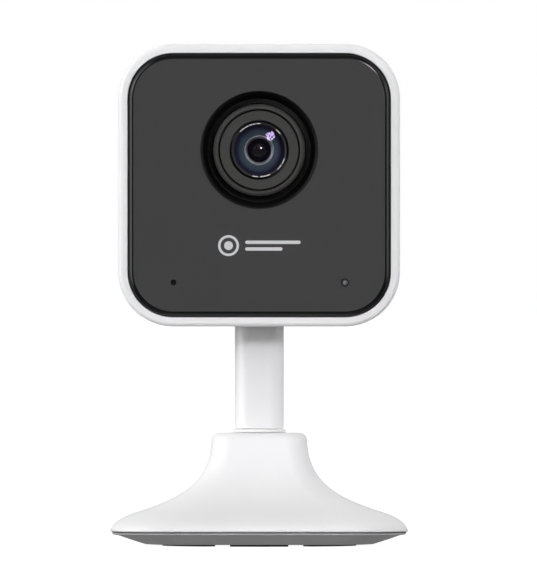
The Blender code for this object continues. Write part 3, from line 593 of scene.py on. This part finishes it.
def rear_cuts(rear):
    """The speaker's stepped seat, and the power socket's mouth in its shallow recess."""
    speaker = middle("speaker_grille")
    seat = [
        (0, -8.0, 0),
        (8.6, -8.0, 0),
        (8.6, -11.1, 0),
        (10.2, -11.1, 0),
        (10.2, -20.0, 0),
        (0, -20.0, 0),
    ]
    seat = tool("seat", lathe(soft_profile(seat), (0, 0, speaker.z), "front", 96, looped=False))
    usb = middle("usb_socket")
    past_wall = 16 * MM
    mouth = box_tool(
        "mouth", (-4.2 * MM, 4.2 * MM), (8 * MM, past_wall), (usb.z - 1.8 * MM, usb.z + 1.8 * MM), 0.6 * MM
    )
    recess = box_tool(
        "recess",
        (-5.6 * MM, 5.6 * MM),
        (rear - 0.8 * MM, past_wall),
        (usb.z - 3.6 * MM, usb.z + 3.6 * MM),
        1.6 * MM,
    )
    return [seat, mouth, recess]


def side_cuts():
    """The card's slot and the reset button's hole, one above the other in the right wall."""
    through = (27 * MM, 33 * MM)
    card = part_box("card_socket")
    button = middle("reset_button")
    card_slot = box_tool(
        "card_slot",
        through,
        (button.y - 0.8 * MM, button.y + 0.8 * MM),
        (card[0].z + 0.8 * MM, card[1].z - 0.8 * MM),
        0.6 * MM,
        along=0,
    )
    return [card_slot, rod_tool("button_hole", 1.8 * MM, *through, (0, button.y, button.z), "right", 48)]


# Front panel, its printed mark and its two small holes.

PANEL_FRONT = low("front_panel").y
PANEL_BACK = high("front_panel").y
PANEL_INSET = LIP + 0.1 * MM
BAND = 1.16 * MM  # width of the glossy black edge
BAND_DEPTH = 1.15 * MM
BAND_STEPS = 12
BAND_STEEPEST = math.radians(64)  # slope of the edge's outermost part
LIGHT_HOLE = Vector((middle("status_light_pipe").x, 0, middle("status_light_pipe").z))
MIC_HOLE = Vector((-LIGHT_HOLE.x, 0, LIGHT_HOLE.z))
LENS_OPENING = 12.7 * MM
PRINT_LIFT = 0.01 * MM  # how far the middle of the print's thickness is in front of the panel
PRINT_HALF = 0.02 * MM


def front_panel():
    """The flat face, holed for the lens and painted dark grey as a reflection of the bright surround, and the
    plain glossy black edge that rolls back from it.
    """
    front, back = PANEL_FRONT, PANEL_BACK
    inner = PANEL_INSET + BAND
    edge = []
    for step in range(BAND_STEPS + 1):
        tilt = BAND_STEEPEST * (1 - step / BAND_STEPS)
        inset = BAND * (1 - math.sin(tilt) / math.sin(BAND_STEEPEST))
        drop = BAND_DEPTH * (1 - math.cos(tilt)) / (1 - math.cos(BAND_STEEPEST))
        edge.append((PANEL_INSET + inset, front + drop))
    rings = [head_ring(inner, back), head_ring(PANEL_INSET, back)]
    rings += [head_ring(inset, y) for inset, y in edge]
    solid("panel_edge", skin(rings, looped=True), PANEL_EDGE, "head", sharp=50)
    overlap = 0.02 * MM
    proud = 0.01 * MM
    face = skin([head_ring(inner - overlap, back), head_ring(inner - overlap, front - proud)])
    through = (10 * MM, 25 * MM)
    holes = [
        rod_tool("lens_hole", LENS_OPENING, *through, LENS, "front", AROUND),
        rod_tool("mic_hole", 0.62 * MM, *through, MIC_HOLE, "front", 40),
        rod_tool("light_hole", 0.92 * MM, *through, LIGHT_HOLE, "front", 40),
    ]
    solid(
        "panel_face", face, PANEL_FACE_PAINTED_REFLECTION, "head", ["front_panel"], bevel=0.07 * MM, cutters=holes
    )


def print_bar(name, x, z, half_w, half_h, corner):
    """A thin printed shape on the panel, a rounded bar."""
    y = PANEL_FRONT - PRINT_LIFT
    rings = []
    for depth in (y + PRINT_HALF, y - PRINT_HALF):
        rings.append([Vector((x + a, depth, z + b)) for a, b in rounded_square(half_w, half_h, corner)])
    solid(name, skin(rings), INK, "head")


def printed_mark():
    """A plain pictogram of a lens, and two plain bars beside it."""
    z = LENS.z - 20.55 * MM
    icon = (-6.6 * MM, 0, z)
    back = PRINT_LIFT - PRINT_HALF - PANEL_FRONT
    front = PRINT_LIFT + PRINT_HALF - PANEL_FRONT
    outer, inner, dot = 2.25 * MM, 1.72 * MM, 0.95 * MM
    ring = lathe([(outer, back), (outer, front), (inner, front), (inner, back)], icon, "front", 64)
    solid("mark_ring", ring, INK, "head")
    disc = lathe([(0, front), (dot, front), (dot, back), (0, back)], icon, "front", 48, looped=False)
    solid("mark_dot", disc, INK, "head")
    left = -3.0 * MM
    half = 0.36 * MM
    for index, (length, rise) in enumerate(((11.9 * MM, 0.72 * MM), (8.0 * MM, -0.72 * MM))):
        print_bar(f"mark_bar_{index + 1}", left + length / 2, z + rise, length / 2, half, half * 0.98)


def panel_details():
    """The status light's tip in its dark sleeve, and the microphone's mesh behind its hole."""
    pipe = [
        (0, 18.08, 0),
        (0.35, 18.08, 0),
        (0.58, 17.95, 0.15),
        (0.58, 16.2, 0),
        (1.4, 16.2, 0),
        (1.4, 15.5, 0),
        (0, 15.5, 0),
    ]
    pipe = lathe(soft_profile(pipe, 4), LIGHT_HOLE, "front", 40, looped=False)
    solid("status_light", pipe, CLEAR, "head", ["status_light_pipe"])
    gauze = [(0, 16.6, 0), (1.2, 16.5, 0), (1.2, 16.3, 0), (0, 16.3, 0)]
    gauze = lathe(soft_profile(gauze), MIC_HOLE, "front", 40, looped=False)
    solid("microphone_gauze", gauze, BLACK, "head")
    sleeve = [(0.9, 18.2, 0), (0.9, 16.4, 0), (0.64, 16.4, 0), (0.64, 18.2, 0)]
    sleeve = lathe(soft_profile(sleeve), LIGHT_HOLE, "front", 40)
    solid("light_sleeve", sleeve, BLACK, "head")


# Lens.


GLASS_RIM, GLASS_RADIUS = 15.75, 5.48  # the front glass's dome, in millimetres
INNER_GLASS_RIM, INNER_GLASS_RADIUS = 11.0, 2.5
TICK_RADIUS = 5.62 * MM
TICK_WIDTH = 0.2 * MM
TICK_HALF = 0.015 * MM  # half of the print's thickness
TICK_FACE = 16.66 * MM  # how far forward the printed face is
TICKS = (  # where each printed arc starts and ends, in degrees
    (88, 96),
    (98, 104),
    (106, 112),
    (114, 122),
    (124, 136),
    (38, 51),
    (-31, -18),
    (-47, -34),
    (-88, -66),
    (-105, -93),
)


def lens_part(name, corners, look, stands_for=(), looped=True, steps=ARC):
    """A profile in millimetres turned about the lens's axis."""
    bm = lathe(soft_profile(corners, steps), LENS, "front", looped=looped)
    return solid(name, bm, look, "head", stands_for)


def dome_points(radius, rim, rise, steps):
    """A shallow dome from crown to rim, as profile corners in millimetres."""
    return [(radius * i / steps, rim + rise * (1 - (i / steps) ** 2), 0) for i in range(steps + 1)]


def tick_arc(name, start, end):
    """A thin printed arc about the lens axis, from one angle to another, on the inner ring."""
    steps = max(3, int((end - start) / 2))
    front, back = -TICK_FACE - TICK_HALF, -TICK_FACE + TICK_HALF
    section = [
        (TICK_RADIUS, front),
        (TICK_RADIUS + TICK_WIDTH, front),
        (TICK_RADIUS + TICK_WIDTH, back),
        (TICK_RADIUS, back),
    ]
    rings = []
    for step in range(steps + 1):
        angle = math.radians(start + (end - start) * step / steps)
        across = Vector((math.cos(angle), 0, math.sin(angle)))
        rings.append([LENS + across * reach + Vector((0, y, 0)) for reach, y in section])
    solid(name, skin(rings), INK, "head")


def lens_surround():
    """The black funnel in the panel's opening and the ring around the lens."""
    shroud = [
        (12.95, 16.2, 0),
        (12.95, 13.4, 0),
        (10.1, 13.4, 0),
        (10.1, 14.55, 0.1),
        (11.1, 14.1, 0.2),
        (12.1, 15.9, 0.2),
        (12.5, 16.2, 0),
    ]
    lens_part("lens_shroud_skin", shroud, BLACK, ["lens_shroud"])
    bezel = [
        (8.8, 11.0, 0),
        (8.8, 17.1, 0.1),
        (8.95, 17.25, 0),
        (9.45, 17.2, 0.3),
        (9.9, 16.75, 0.35),
        (9.9, 11.0, 0),
    ]
    lens_part("lens_bezel_ring", bezel, BARREL, ["lens_bezel"])


def lens_barrel():
    """The flange with its groove, the retaining ring, and the inner wall down to the stop, painted with the
    coating's reflections.
    """
    flange = [
        (8.47, 14.7, 0),
        (8.47, 17.02, 0.12),
        (6.42, 17.0, 0.08),
        (6.42, 14.9, 0),
        (5.75, 14.9, 0),
        (5.6, 14.3, 0.1),
        (3.2, 12.4, 0),
        (3.2, 9.4, 0),
        (4.2, 8.2, 0),
        (4.2, 4.0, 0),
        (6.0, 4.0, 0),
        (6.0, 14.7, 0.2),
    ]
    lens_part("lens_barrel_flange", flange, BARREL, ["lens_barrel"])
    ring = [
        (5.98, 15.0, 0),
        (5.98, 16.6, 0.06),
        (5.85, 16.68, 0.05),
        (5.5, 16.55, 0.05),
        (5.5, 16.1, 0),
        (5.76, 16.1, 0),
        (5.76, 15.0, 0),
    ]
    lens_part("lens_retainer", ring, LENS_RING, ["lens_retaining_ring"])
    funnel = [
        (5.58, 15.6, 0),
        (5.5, 14.6, 0.4),
        (4.4, 13.55, 0.8),
        (3.3, 13.0, 0.3),
        (3.12, 13.15, 0.08),
        (2.62, 12.75, 0.1),
        (2.55, 11.0, 0),
        (3.1, 11.0, 0),
        (3.15, 12.3, 0),
        (5.55, 14.2, 0),
        (5.68, 15.6, 0),
    ]
    lens_part("lens_funnel", funnel, COATING_PAINTED_REFLECTION)
    stop = [(3.15, 13.3, 0.05), (3.05, 13.3, 0.05), (2.6, 13.1, 0.05), (2.6, 12.6, 0), (3.15, 12.6, 0)]
    lens_part("lens_stop", stop, STOP, steps=4)


def lens_glass():
    """The domed front glass, and the dark inner one behind the stop."""
    front = dome_points(GLASS_RADIUS, GLASS_RIM, rise=0.7, steps=40)
    front += [(GLASS_RADIUS, 15.5, 0), (0, 15.5, 0)]
    lens_part("lens_front_glass", front, GLASS, ["front_lens"], looped=False)
    inner = dome_points(INNER_GLASS_RADIUS, INNER_GLASS_RIM, rise=0.95, steps=24)
    inner += [(INNER_GLASS_RADIUS, 10.6, 0), (0, 10.6, 0)]
    lens_part("lens_inner_glass", inner, INNER_GLASS, ["rear_lens"], looped=False)


def lens():
    """The whole lens, with the fine printed arcs around its glass."""
    lens_surround()
    lens_barrel()
    lens_glass()
    for index, (start, end) in enumerate(TICKS):
        tick_arc(f"lens_tick_{index + 1}", start, end)


# Stem and base.

STEM_LOW, STEM_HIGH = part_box("stem")
STEM_HALF_W, STEM_HALF_D = STEM_HIGH.x, -STEM_LOW.y
STEM_CORNER = 3.2 * MM
STEM_FOOT = high("swivel_washer").z + 0.1 * MM
WASHER_SEAT = 4.42 * MM  # from the hinge's middle to the flats that the friction washers press on
BASE_LOW, BASE_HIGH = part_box("base_shell")
BASE_HALF = BASE_HIGH.x
BASE_CORNER = 11.5 * MM
COLLAR_HALF, COLLAR_CORNER = 10.35 * MM, 4.5 * MM
COLLAR_FILLET = 1.6 * MM
COLLAR_BORE = 4.1  # radius in millimetres, also of the washer's hole
SHELL_WALL = 2 * MM


def stem():
    """The rounded post with its round knuckle, the shaft into the base, and the hinge's bore."""
    foot = STEM_FOOT / MM
    rings = []
    for inset, z in soft_profile([(2.0, foot, 0), (0, foot, 0.25), (0, HINGE.z / MM, 0)], 6):
        outline = rounded_square(STEM_HALF_W - inset, STEM_HALF_D - inset, STEM_CORNER - inset)
        rings.append([Vector((a, b, z)) for a, b in outline])
    half = STEM_HALF_W / MM
    reach = STEM_HALF_D / MM - 0.01
    knuckle = [(0, half, 0), (reach, half, 0.5), (reach, -half, 0.5), (0, -half, 0)]
    knuckle = tool("knuckle", lathe(soft_profile(knuckle, 6), HINGE, "right", 96, looped=False))
    shaft = rod_tool("shaft", 4 * MM, low("stem").z, STEM_FOOT + 2 * MM, (0, 0, 0), "up")
    bore = rod_tool("bore", 1.35 * MM, -9 * MM, 9 * MM, HINGE, "right", 48)
    seats = []
    for side in (-1, 1):
        span = sorted((side * WASHER_SEAT, side * 8 * MM))
        seats.append(rod_tool(f"seat_{side}", 2.7 * MM, *span, HINGE, "right"))
    solid(
        "stem_post",
        skin(rings),
        WHITE,
        "stem",
        ["stem"],
        sharp=40,
        joined=[knuckle, shaft],
        cutters=[bore, *seats],
    )


def swivel_trim():
    """The thin ring between the collar and the stem's foot."""
    washer_low, washer_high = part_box("swivel_washer")
    bottom, top, outer = washer_low.z / MM, washer_high.z / MM, washer_high.x / MM
    corners = [(COLLAR_BORE, bottom, 0), (outer, bottom, 0.12), (outer, top, 0.2), (COLLAR_BORE, top, 0)]
    ring = lathe(soft_profile(corners, 5), (0, 0, 0), "up")
    solid("swivel_ring", ring, WHITE, "stem", ["swivel_washer"])


def base_corner(half):
    """The corner radius of the base's outline where it is this wide, from the collar's to the rim's."""
    share = (half - COLLAR_HALF) / (BASE_HALF - COLLAR_HALF)
    return COLLAR_CORNER + share * (BASE_CORNER - COLLAR_CORNER)


def bezier(p0, p1, p2, p3, steps):
    """Points of a cubic Bezier, its start left out."""
    ends = [Vector(p) for p in (p0, p1, p2, p3)]
    points = []
    for step in range(1, steps + 1):
        t = step / steps
        weights = ((1 - t) ** 3, 3 * t * (1 - t) ** 2, 3 * t**2 * (1 - t), t**3)
        points.append(sum((w * p for w, p in zip(weights, ends)), Vector((0, 0))))
    return points


def base_levels():
    """The outside from the rim up to the collar's top, as (half width, height) in metres: the rim's two edge
    points and its widest point, then two curves that meet where the flare turns from steep to shallow."""
    bottom = BASE_LOW.z / MM
    rim = Vector((BASE_HALF / MM, 3.5))
    turn_over = (26.7, 7.1)
    top = (COLLAR_HALF / MM, (BASE_HIGH.z - COLLAR_FILLET) / MM)
    levels = [Vector((rim.x - 0.3, bottom)), Vector((rim.x - 0.06, bottom + 0.14)), rim]
    levels += bezier(rim, (31.9, 4.9), (29.3, 6.27), turn_over, 16)
    levels += bezier(turn_over, (17.0, 10.2), (10.8, 13.5), top, 40)
    return [level * MM for level in levels]


def base_ring(half, z, inset=0.0):
    """A ring of the base's outline at a height, moved in from it."""
    corner = max(base_corner(half) - inset, 0.6 * MM)
    return [Vector((a, b, z)) for a, b in rounded_square(half - inset, half - inset, corner)]


def base_shell():
    """The flare as one closed skin: up the outside, over the collar, down the bore, around the lower end of
    the tube that the bore is in, and back inside."""
    levels = base_levels()
    rings = [base_ring(half, z) for half, z in levels]
    for step in range(1, ARC + 1):
        angle = step / ARC * math.pi / 2
        inset = COLLAR_FILLET * (1 - math.cos(angle))
        rings.append(base_ring(COLLAR_HALF, BASE_HIGH.z - COLLAR_FILLET * (1 - math.sin(angle)), inset))
    top = BASE_HIGH.z / MM
    tube_end, tube_top, tube_radius = 16.5, 21.2, 6.2
    bore = [
        (COLLAR_BORE + 0.2, top),
        (COLLAR_BORE, top - 0.2),
        (COLLAR_BORE, tube_end),
        (tube_radius, tube_end),
        (tube_radius, tube_top),
    ]
    for radius, z in bore:
        rings.append([Vector((a, b, z * MM)) for a, b in circle(radius * MM)])
    rings.append(base_ring(COLLAR_HALF, BASE_HIGH.z - 1.5 * SHELL_WALL, SHELL_WALL))
    under_collar = [level for level in levels[3:] if level.y < 20 * MM]
    for half, z in reversed(under_collar[::4]):
        flatness = min(1.0, (half - COLLAR_HALF) / (10 * MM))
        inner_z = z - SHELL_WALL * (0.35 + 0.65 * flatness)
        if inner_z > BASE_LOW.z + 0.4 * MM:
            rings.append(base_ring(half, inner_z, SHELL_WALL * 0.75))
    rings.append(base_ring(BASE_HALF - 2.6 * MM, BASE_LOW.z))
    solid(
        "base_flare", skin(rings, looped=True), WHITE, "base", ["base_shell"], sharp=40
    )


def screw_spots():
    return [middle(f"base_screw_{i}") for i in range(1, 5)]


def base_pan():
    """The grey pan under the rim, with its rubber feet let into it and the screws' holes."""
    top = (BASE_LOW.z - 0.2 * MM) / MM
    side = [
        (31.7, top, 0),
        (31.35, 2.62, 0.25),
        (30.25, 2.45, 0.06),
        (28.4, 1.78, 4),
        (25.6, 0.84, 3),
        (24.4, 0.5, 1.2),
        (22.6, 0.4, 0),
    ]
    rings = [base_ring(29.0 * MM, 2.2 * MM), base_ring(29.4 * MM, top * MM)]
    rings += [base_ring(half, z) for half, z in soft_profile(side, 5)]
    cutters = [foot(name) for name in ("front", "right", "back", "left")]
    sink = [(0, 4, 0), (1.4, 4, 0), (1.4, 1.3, 0), (2.3, 1.3, 0), (2.3, -1, 0), (0, -1, 0)]
    for index, spot in enumerate(screw_spots()):
        hole = lathe(soft_profile(sink), (spot.x, spot.y, 0), "up", 48, looped=False)
        cutters.append(tool(f"sink_{index}", hole))
    solid(
        "base_underpan",
        skin(rings),
        GREY,
        "base",
        ["base_pan"],
        sharp=24,
        cutters=cutters,
    )


def foot(name):
    """One rubber foot, an arc on the feet's common circle, and the cutter for its pocket in the pan."""
    node = f"foot_pad_{name}"
    centre = middle(node)
    angle = math.degrees(math.atan2(centre.y, centre.x))
    half_angle = 17.5 if name in ("front", "back") else 57
    pocket_angle = half_angle + 0.6
    pocket = arc_block(17.1, 21.2, -1, 1.15, angle - pocket_angle, angle + pocket_angle)
    pad = arc_block(17.3, 21.0, 0, 1.1, angle - half_angle, angle + half_angle)
    cutter = tool(f"cut_{node}", pocket)
    solid(f"{node}_rubber", pad, RUBBER, "base", [node], bevel=0.12 * MM)
    return cutter


def arc_block(inner, outer, bottom, top, start, end):
    """A block between two radii, heights and angles about the base's middle, in millimetres and degrees."""
    steps = 36
    section = ((inner, bottom), (outer, bottom), (outer, top), (inner, top))
    rings = []
    for step in range(steps + 1):
        angle = math.radians(start + (end - start) * step / steps)
        out = Vector((math.cos(angle), math.sin(angle), 0)) * MM
        rings.append([out * reach + Vector((0, 0, z * MM)) for reach, z in section])
    return skin(rings)


def base_screws():
    """Pan-head screws under the base, with a cross recess."""
    profile = [
        (0, 0.5, 0),
        (1.5, 0.5, 0.3),
        (2.0, 0.85, 0.25),
        (2.0, 1.2, 0),
        (1.0, 1.2, 0),
        (1.0, 6.0, 0.4),
        (0, 6.2, 0),
    ]
    long_half, short_half = 1.05 * MM, 0.22 * MM
    for index, spot in enumerate(screw_spots()):
        arms = []
        for arm, (wide, deep) in enumerate(((long_half, short_half), (short_half, long_half))):
            across, along = (spot.x - wide, spot.x + wide), (spot.y - deep, spot.y + deep)
            arms.append(box_tool(f"arm_{index}_{arm}", across, along, (-0.5 * MM, 0.95 * MM), along=2))
        screw = lathe(soft_profile(profile, 5), (spot.x, spot.y, 0), "up", 48, looped=False)
        node = f"base_screw_{index + 1}"
        solid(f"{node}_fine", screw, STEEL, "base", [node], cutters=arms)


# Back and side details.


def speaker_grille():
    """A disc with a stepped hole in its middle and two rings of them around it, a pitch apart."""
    spot = middle("speaker_grille")
    disc = [(0, -11.2, 0), (10.05, -11.2, 0), (10.05, -12.3, 0.25), (0, -12.3, 0)]
    hole = [(0, -9, 0), (0.8, -9, 0), (0.8, -12.12, 0), (1.1, -12.45, 0), (1.1, -15, 0), (0, -15, 0)]
    pitch = 3.3 * MM
    phase = 0.35  # turns the pattern, so that no two holes are in line with an edge of the disc's mesh
    holes = []
    for ring, count in ((0, 1), (1, 6), (2, 12)):
        for index in range(count):
            angle = 2 * math.pi * (index + phase) / count
            centre = (ring * pitch * math.cos(angle), 0, spot.z + ring * pitch * math.sin(angle))
            cut = lathe(soft_profile(hole), centre, "front", 32, looped=False)
            holes.append(tool(f"hole_{ring}_{index}", cut))
    cover = lathe(soft_profile(disc), (0, 0, spot.z), "front", looped=False)
    solid("speaker_cover", cover, WHITE, "head", ["speaker_grille"], cutters=holes)


def reset_button():
    """The button's crown, its guide and the flange that keeps it in the wall."""
    spot = middle("reset_button")
    profile = [
        (0, 30.05, 0),
        (1.0, 30.12, 0.3),
        (1.5, 29.9, 0.3),
        (1.5, 28.3, 0),
        (2.4, 28.3, 0),
        (2.4, 27.6, 0),
        (1.2, 27.6, 0),
        (1.2, 26.8, 0),
        (0, 26.8, 0),
    ]
    key = lathe(soft_profile(profile, 5), (0, spot.y, spot.z), "right", 64, looped=False)
    solid("reset_key", key, GREY, "reset_button", ["reset_button"])


# Stage, light and camera.


PLAIN = (1, 1, 1)
EVEN_LEVEL = 0.12

# Soft lit zones: direction, half angle and fade in degrees, strength, colour. The narrow one is a lamp.
ZONES = (
    ((-0.91, -0.4, 0.1), 14, 14, 3.1, PLAIN),
    ((-0.75, -0.433, 0.5), 16, 14, 2.4, PLAIN),
    ((0.91, -0.4, 0.1), 9, 11, 2.4, PLAIN),
    ((0.75, -0.433, 0.5), 16, 14, 0.8, PLAIN),
    ((0, -0.819, 0.574), 10, 10, 0.35, PLAIN),
    ((0, -0.5, -0.866), 22, 25, 0.22, PLAIN),
    ((0.925, 0.337, 0.174), 20, 20, 0.5, PLAIN),
    ((-0.925, 0.337, 0.174), 20, 20, 0.3, PLAIN),
    ((0.216, -0.935, 0.28), 4.2, 1.5, 45.0, (0.98, 0.96, 1.0)),
    ((0, 0.77, 0.64), 22, 28, 0.8, PLAIN),
)


def world_light():
    """A studio as a world: an even level and the lit zones. Its background is white to the camera."""
    world = bpy.data.worlds.new("studio")
    bpy.context.scene.world = world
    world.use_nodes = True
    tree = world.node_tree
    coordinates = tree.nodes.new("ShaderNodeTexCoord")
    level = tree.nodes.new("ShaderNodeCombineXYZ")
    for axis in level.inputs:
        axis.default_value = EVEN_LEVEL
    total = level.outputs["Vector"]
    for zone in ZONES:
        add = tree.nodes.new("ShaderNodeVectorMath")
        tree.links.new(total, add.inputs[0])
        tree.links.new(lit_zone(tree, coordinates.outputs["Generated"], *zone), add.inputs[1])
        total = add.outputs["Vector"]
    eye = tree.nodes.new("ShaderNodeLightPath")
    seen = tree.nodes.new("ShaderNodeMix")
    seen.data_type = "VECTOR"
    tree.links.new(eye.outputs["Is Camera Ray"], seen.inputs["Factor"])
    lit, white = [i for i in seen.inputs if i.type == "VECTOR" and i.name in ("A", "B")]
    tree.links.new(total, lit)
    white.default_value = PLAIN
    result = [o for o in seen.outputs if o.type == "VECTOR"][0]
    tree.links.new(result, tree.nodes["Background"].inputs["Color"])


def lit_zone(tree, towards, direction, half_angle, fade, strength, colour):
    """The light of one zone: full inside its half angle, and gone once past the fade."""
    dot = tree.nodes.new("ShaderNodeVectorMath")
    dot.operation = "DOT_PRODUCT"
    tree.links.new(towards, dot.inputs[0])
    dot.inputs[1].default_value = Vector(direction).normalized()
    share = tree.nodes.new("ShaderNodeMapRange")
    share.interpolation_type = "SMOOTHSTEP"
    tree.links.new(dot.outputs["Value"], share.inputs["Value"])
    share.inputs["From Min"].default_value = math.cos(math.radians(half_angle + fade))
    share.inputs["From Max"].default_value = math.cos(math.radians(half_angle))
    light = tree.nodes.new("ShaderNodeVectorMath")
    light.operation = "SCALE"
    light.inputs[0].default_value = Vector(colour) * strength
    tree.links.new(share.outputs["Result"], light.inputs["Scale"])
    return light.outputs["Vector"]


FLOOR_REACH = 40
FLOOR_GREY = (0.4, 0.4, 0.4)


def floor():
    """A plain floor that is white to the camera and casts no light on the object."""
    bm = bmesh.new()
    bmesh.ops.create_grid(bm, x_segments=1, y_segments=1, size=FLOOR_REACH)
    mesh = bpy.data.meshes.new("floor")
    bm.to_mesh(mesh)
    bm.free()
    plane = bpy.data.objects.new("floor", mesh)
    bpy.context.scene.collection.objects.link(plane)
    glow = {"Emission_Color": (*PLAIN, 1), "Emission_Strength": 0.9}
    look = Look("floor_white", 0.9, Specular_IOR_Level=0.0, **glow)
    look.colour(look.mottled(FLOOR_GREY, 0.5, 0.005))
    mesh.materials.append(look.material)
    plane.visible_diffuse = False
    plane.visible_glossy = False


def camera():
    """A level view from far off, straight at the lens's side."""
    frame_height = 126.6 * MM
    focal_length = 1.2
    sensor = 36 * MM
    aim = Vector((2.0 * MM, 0, 54.56 * MM))
    data = bpy.data.cameras.new("camera")
    data.lens = focal_length / MM
    data.sensor_width = sensor / MM
    data.clip_end = 200
    view = bpy.data.objects.new("camera", data)
    view.location = aim - Vector((0, focal_length * frame_height / sensor, 0))
    view.rotation_euler = (math.radians(90), 0, 0)
    bpy.context.scene.collection.objects.link(view)
    bpy.context.scene.camera = view


housing()
front_panel()
printed_mark()
panel_details()
lens()
stem()
swivel_trim()
base_shell()
base_pan()
base_screws()
speaker_grille()
reset_button()
floor()
camera()
world_light()
bpy.context.scene.view_settings.view_transform = "Standard"
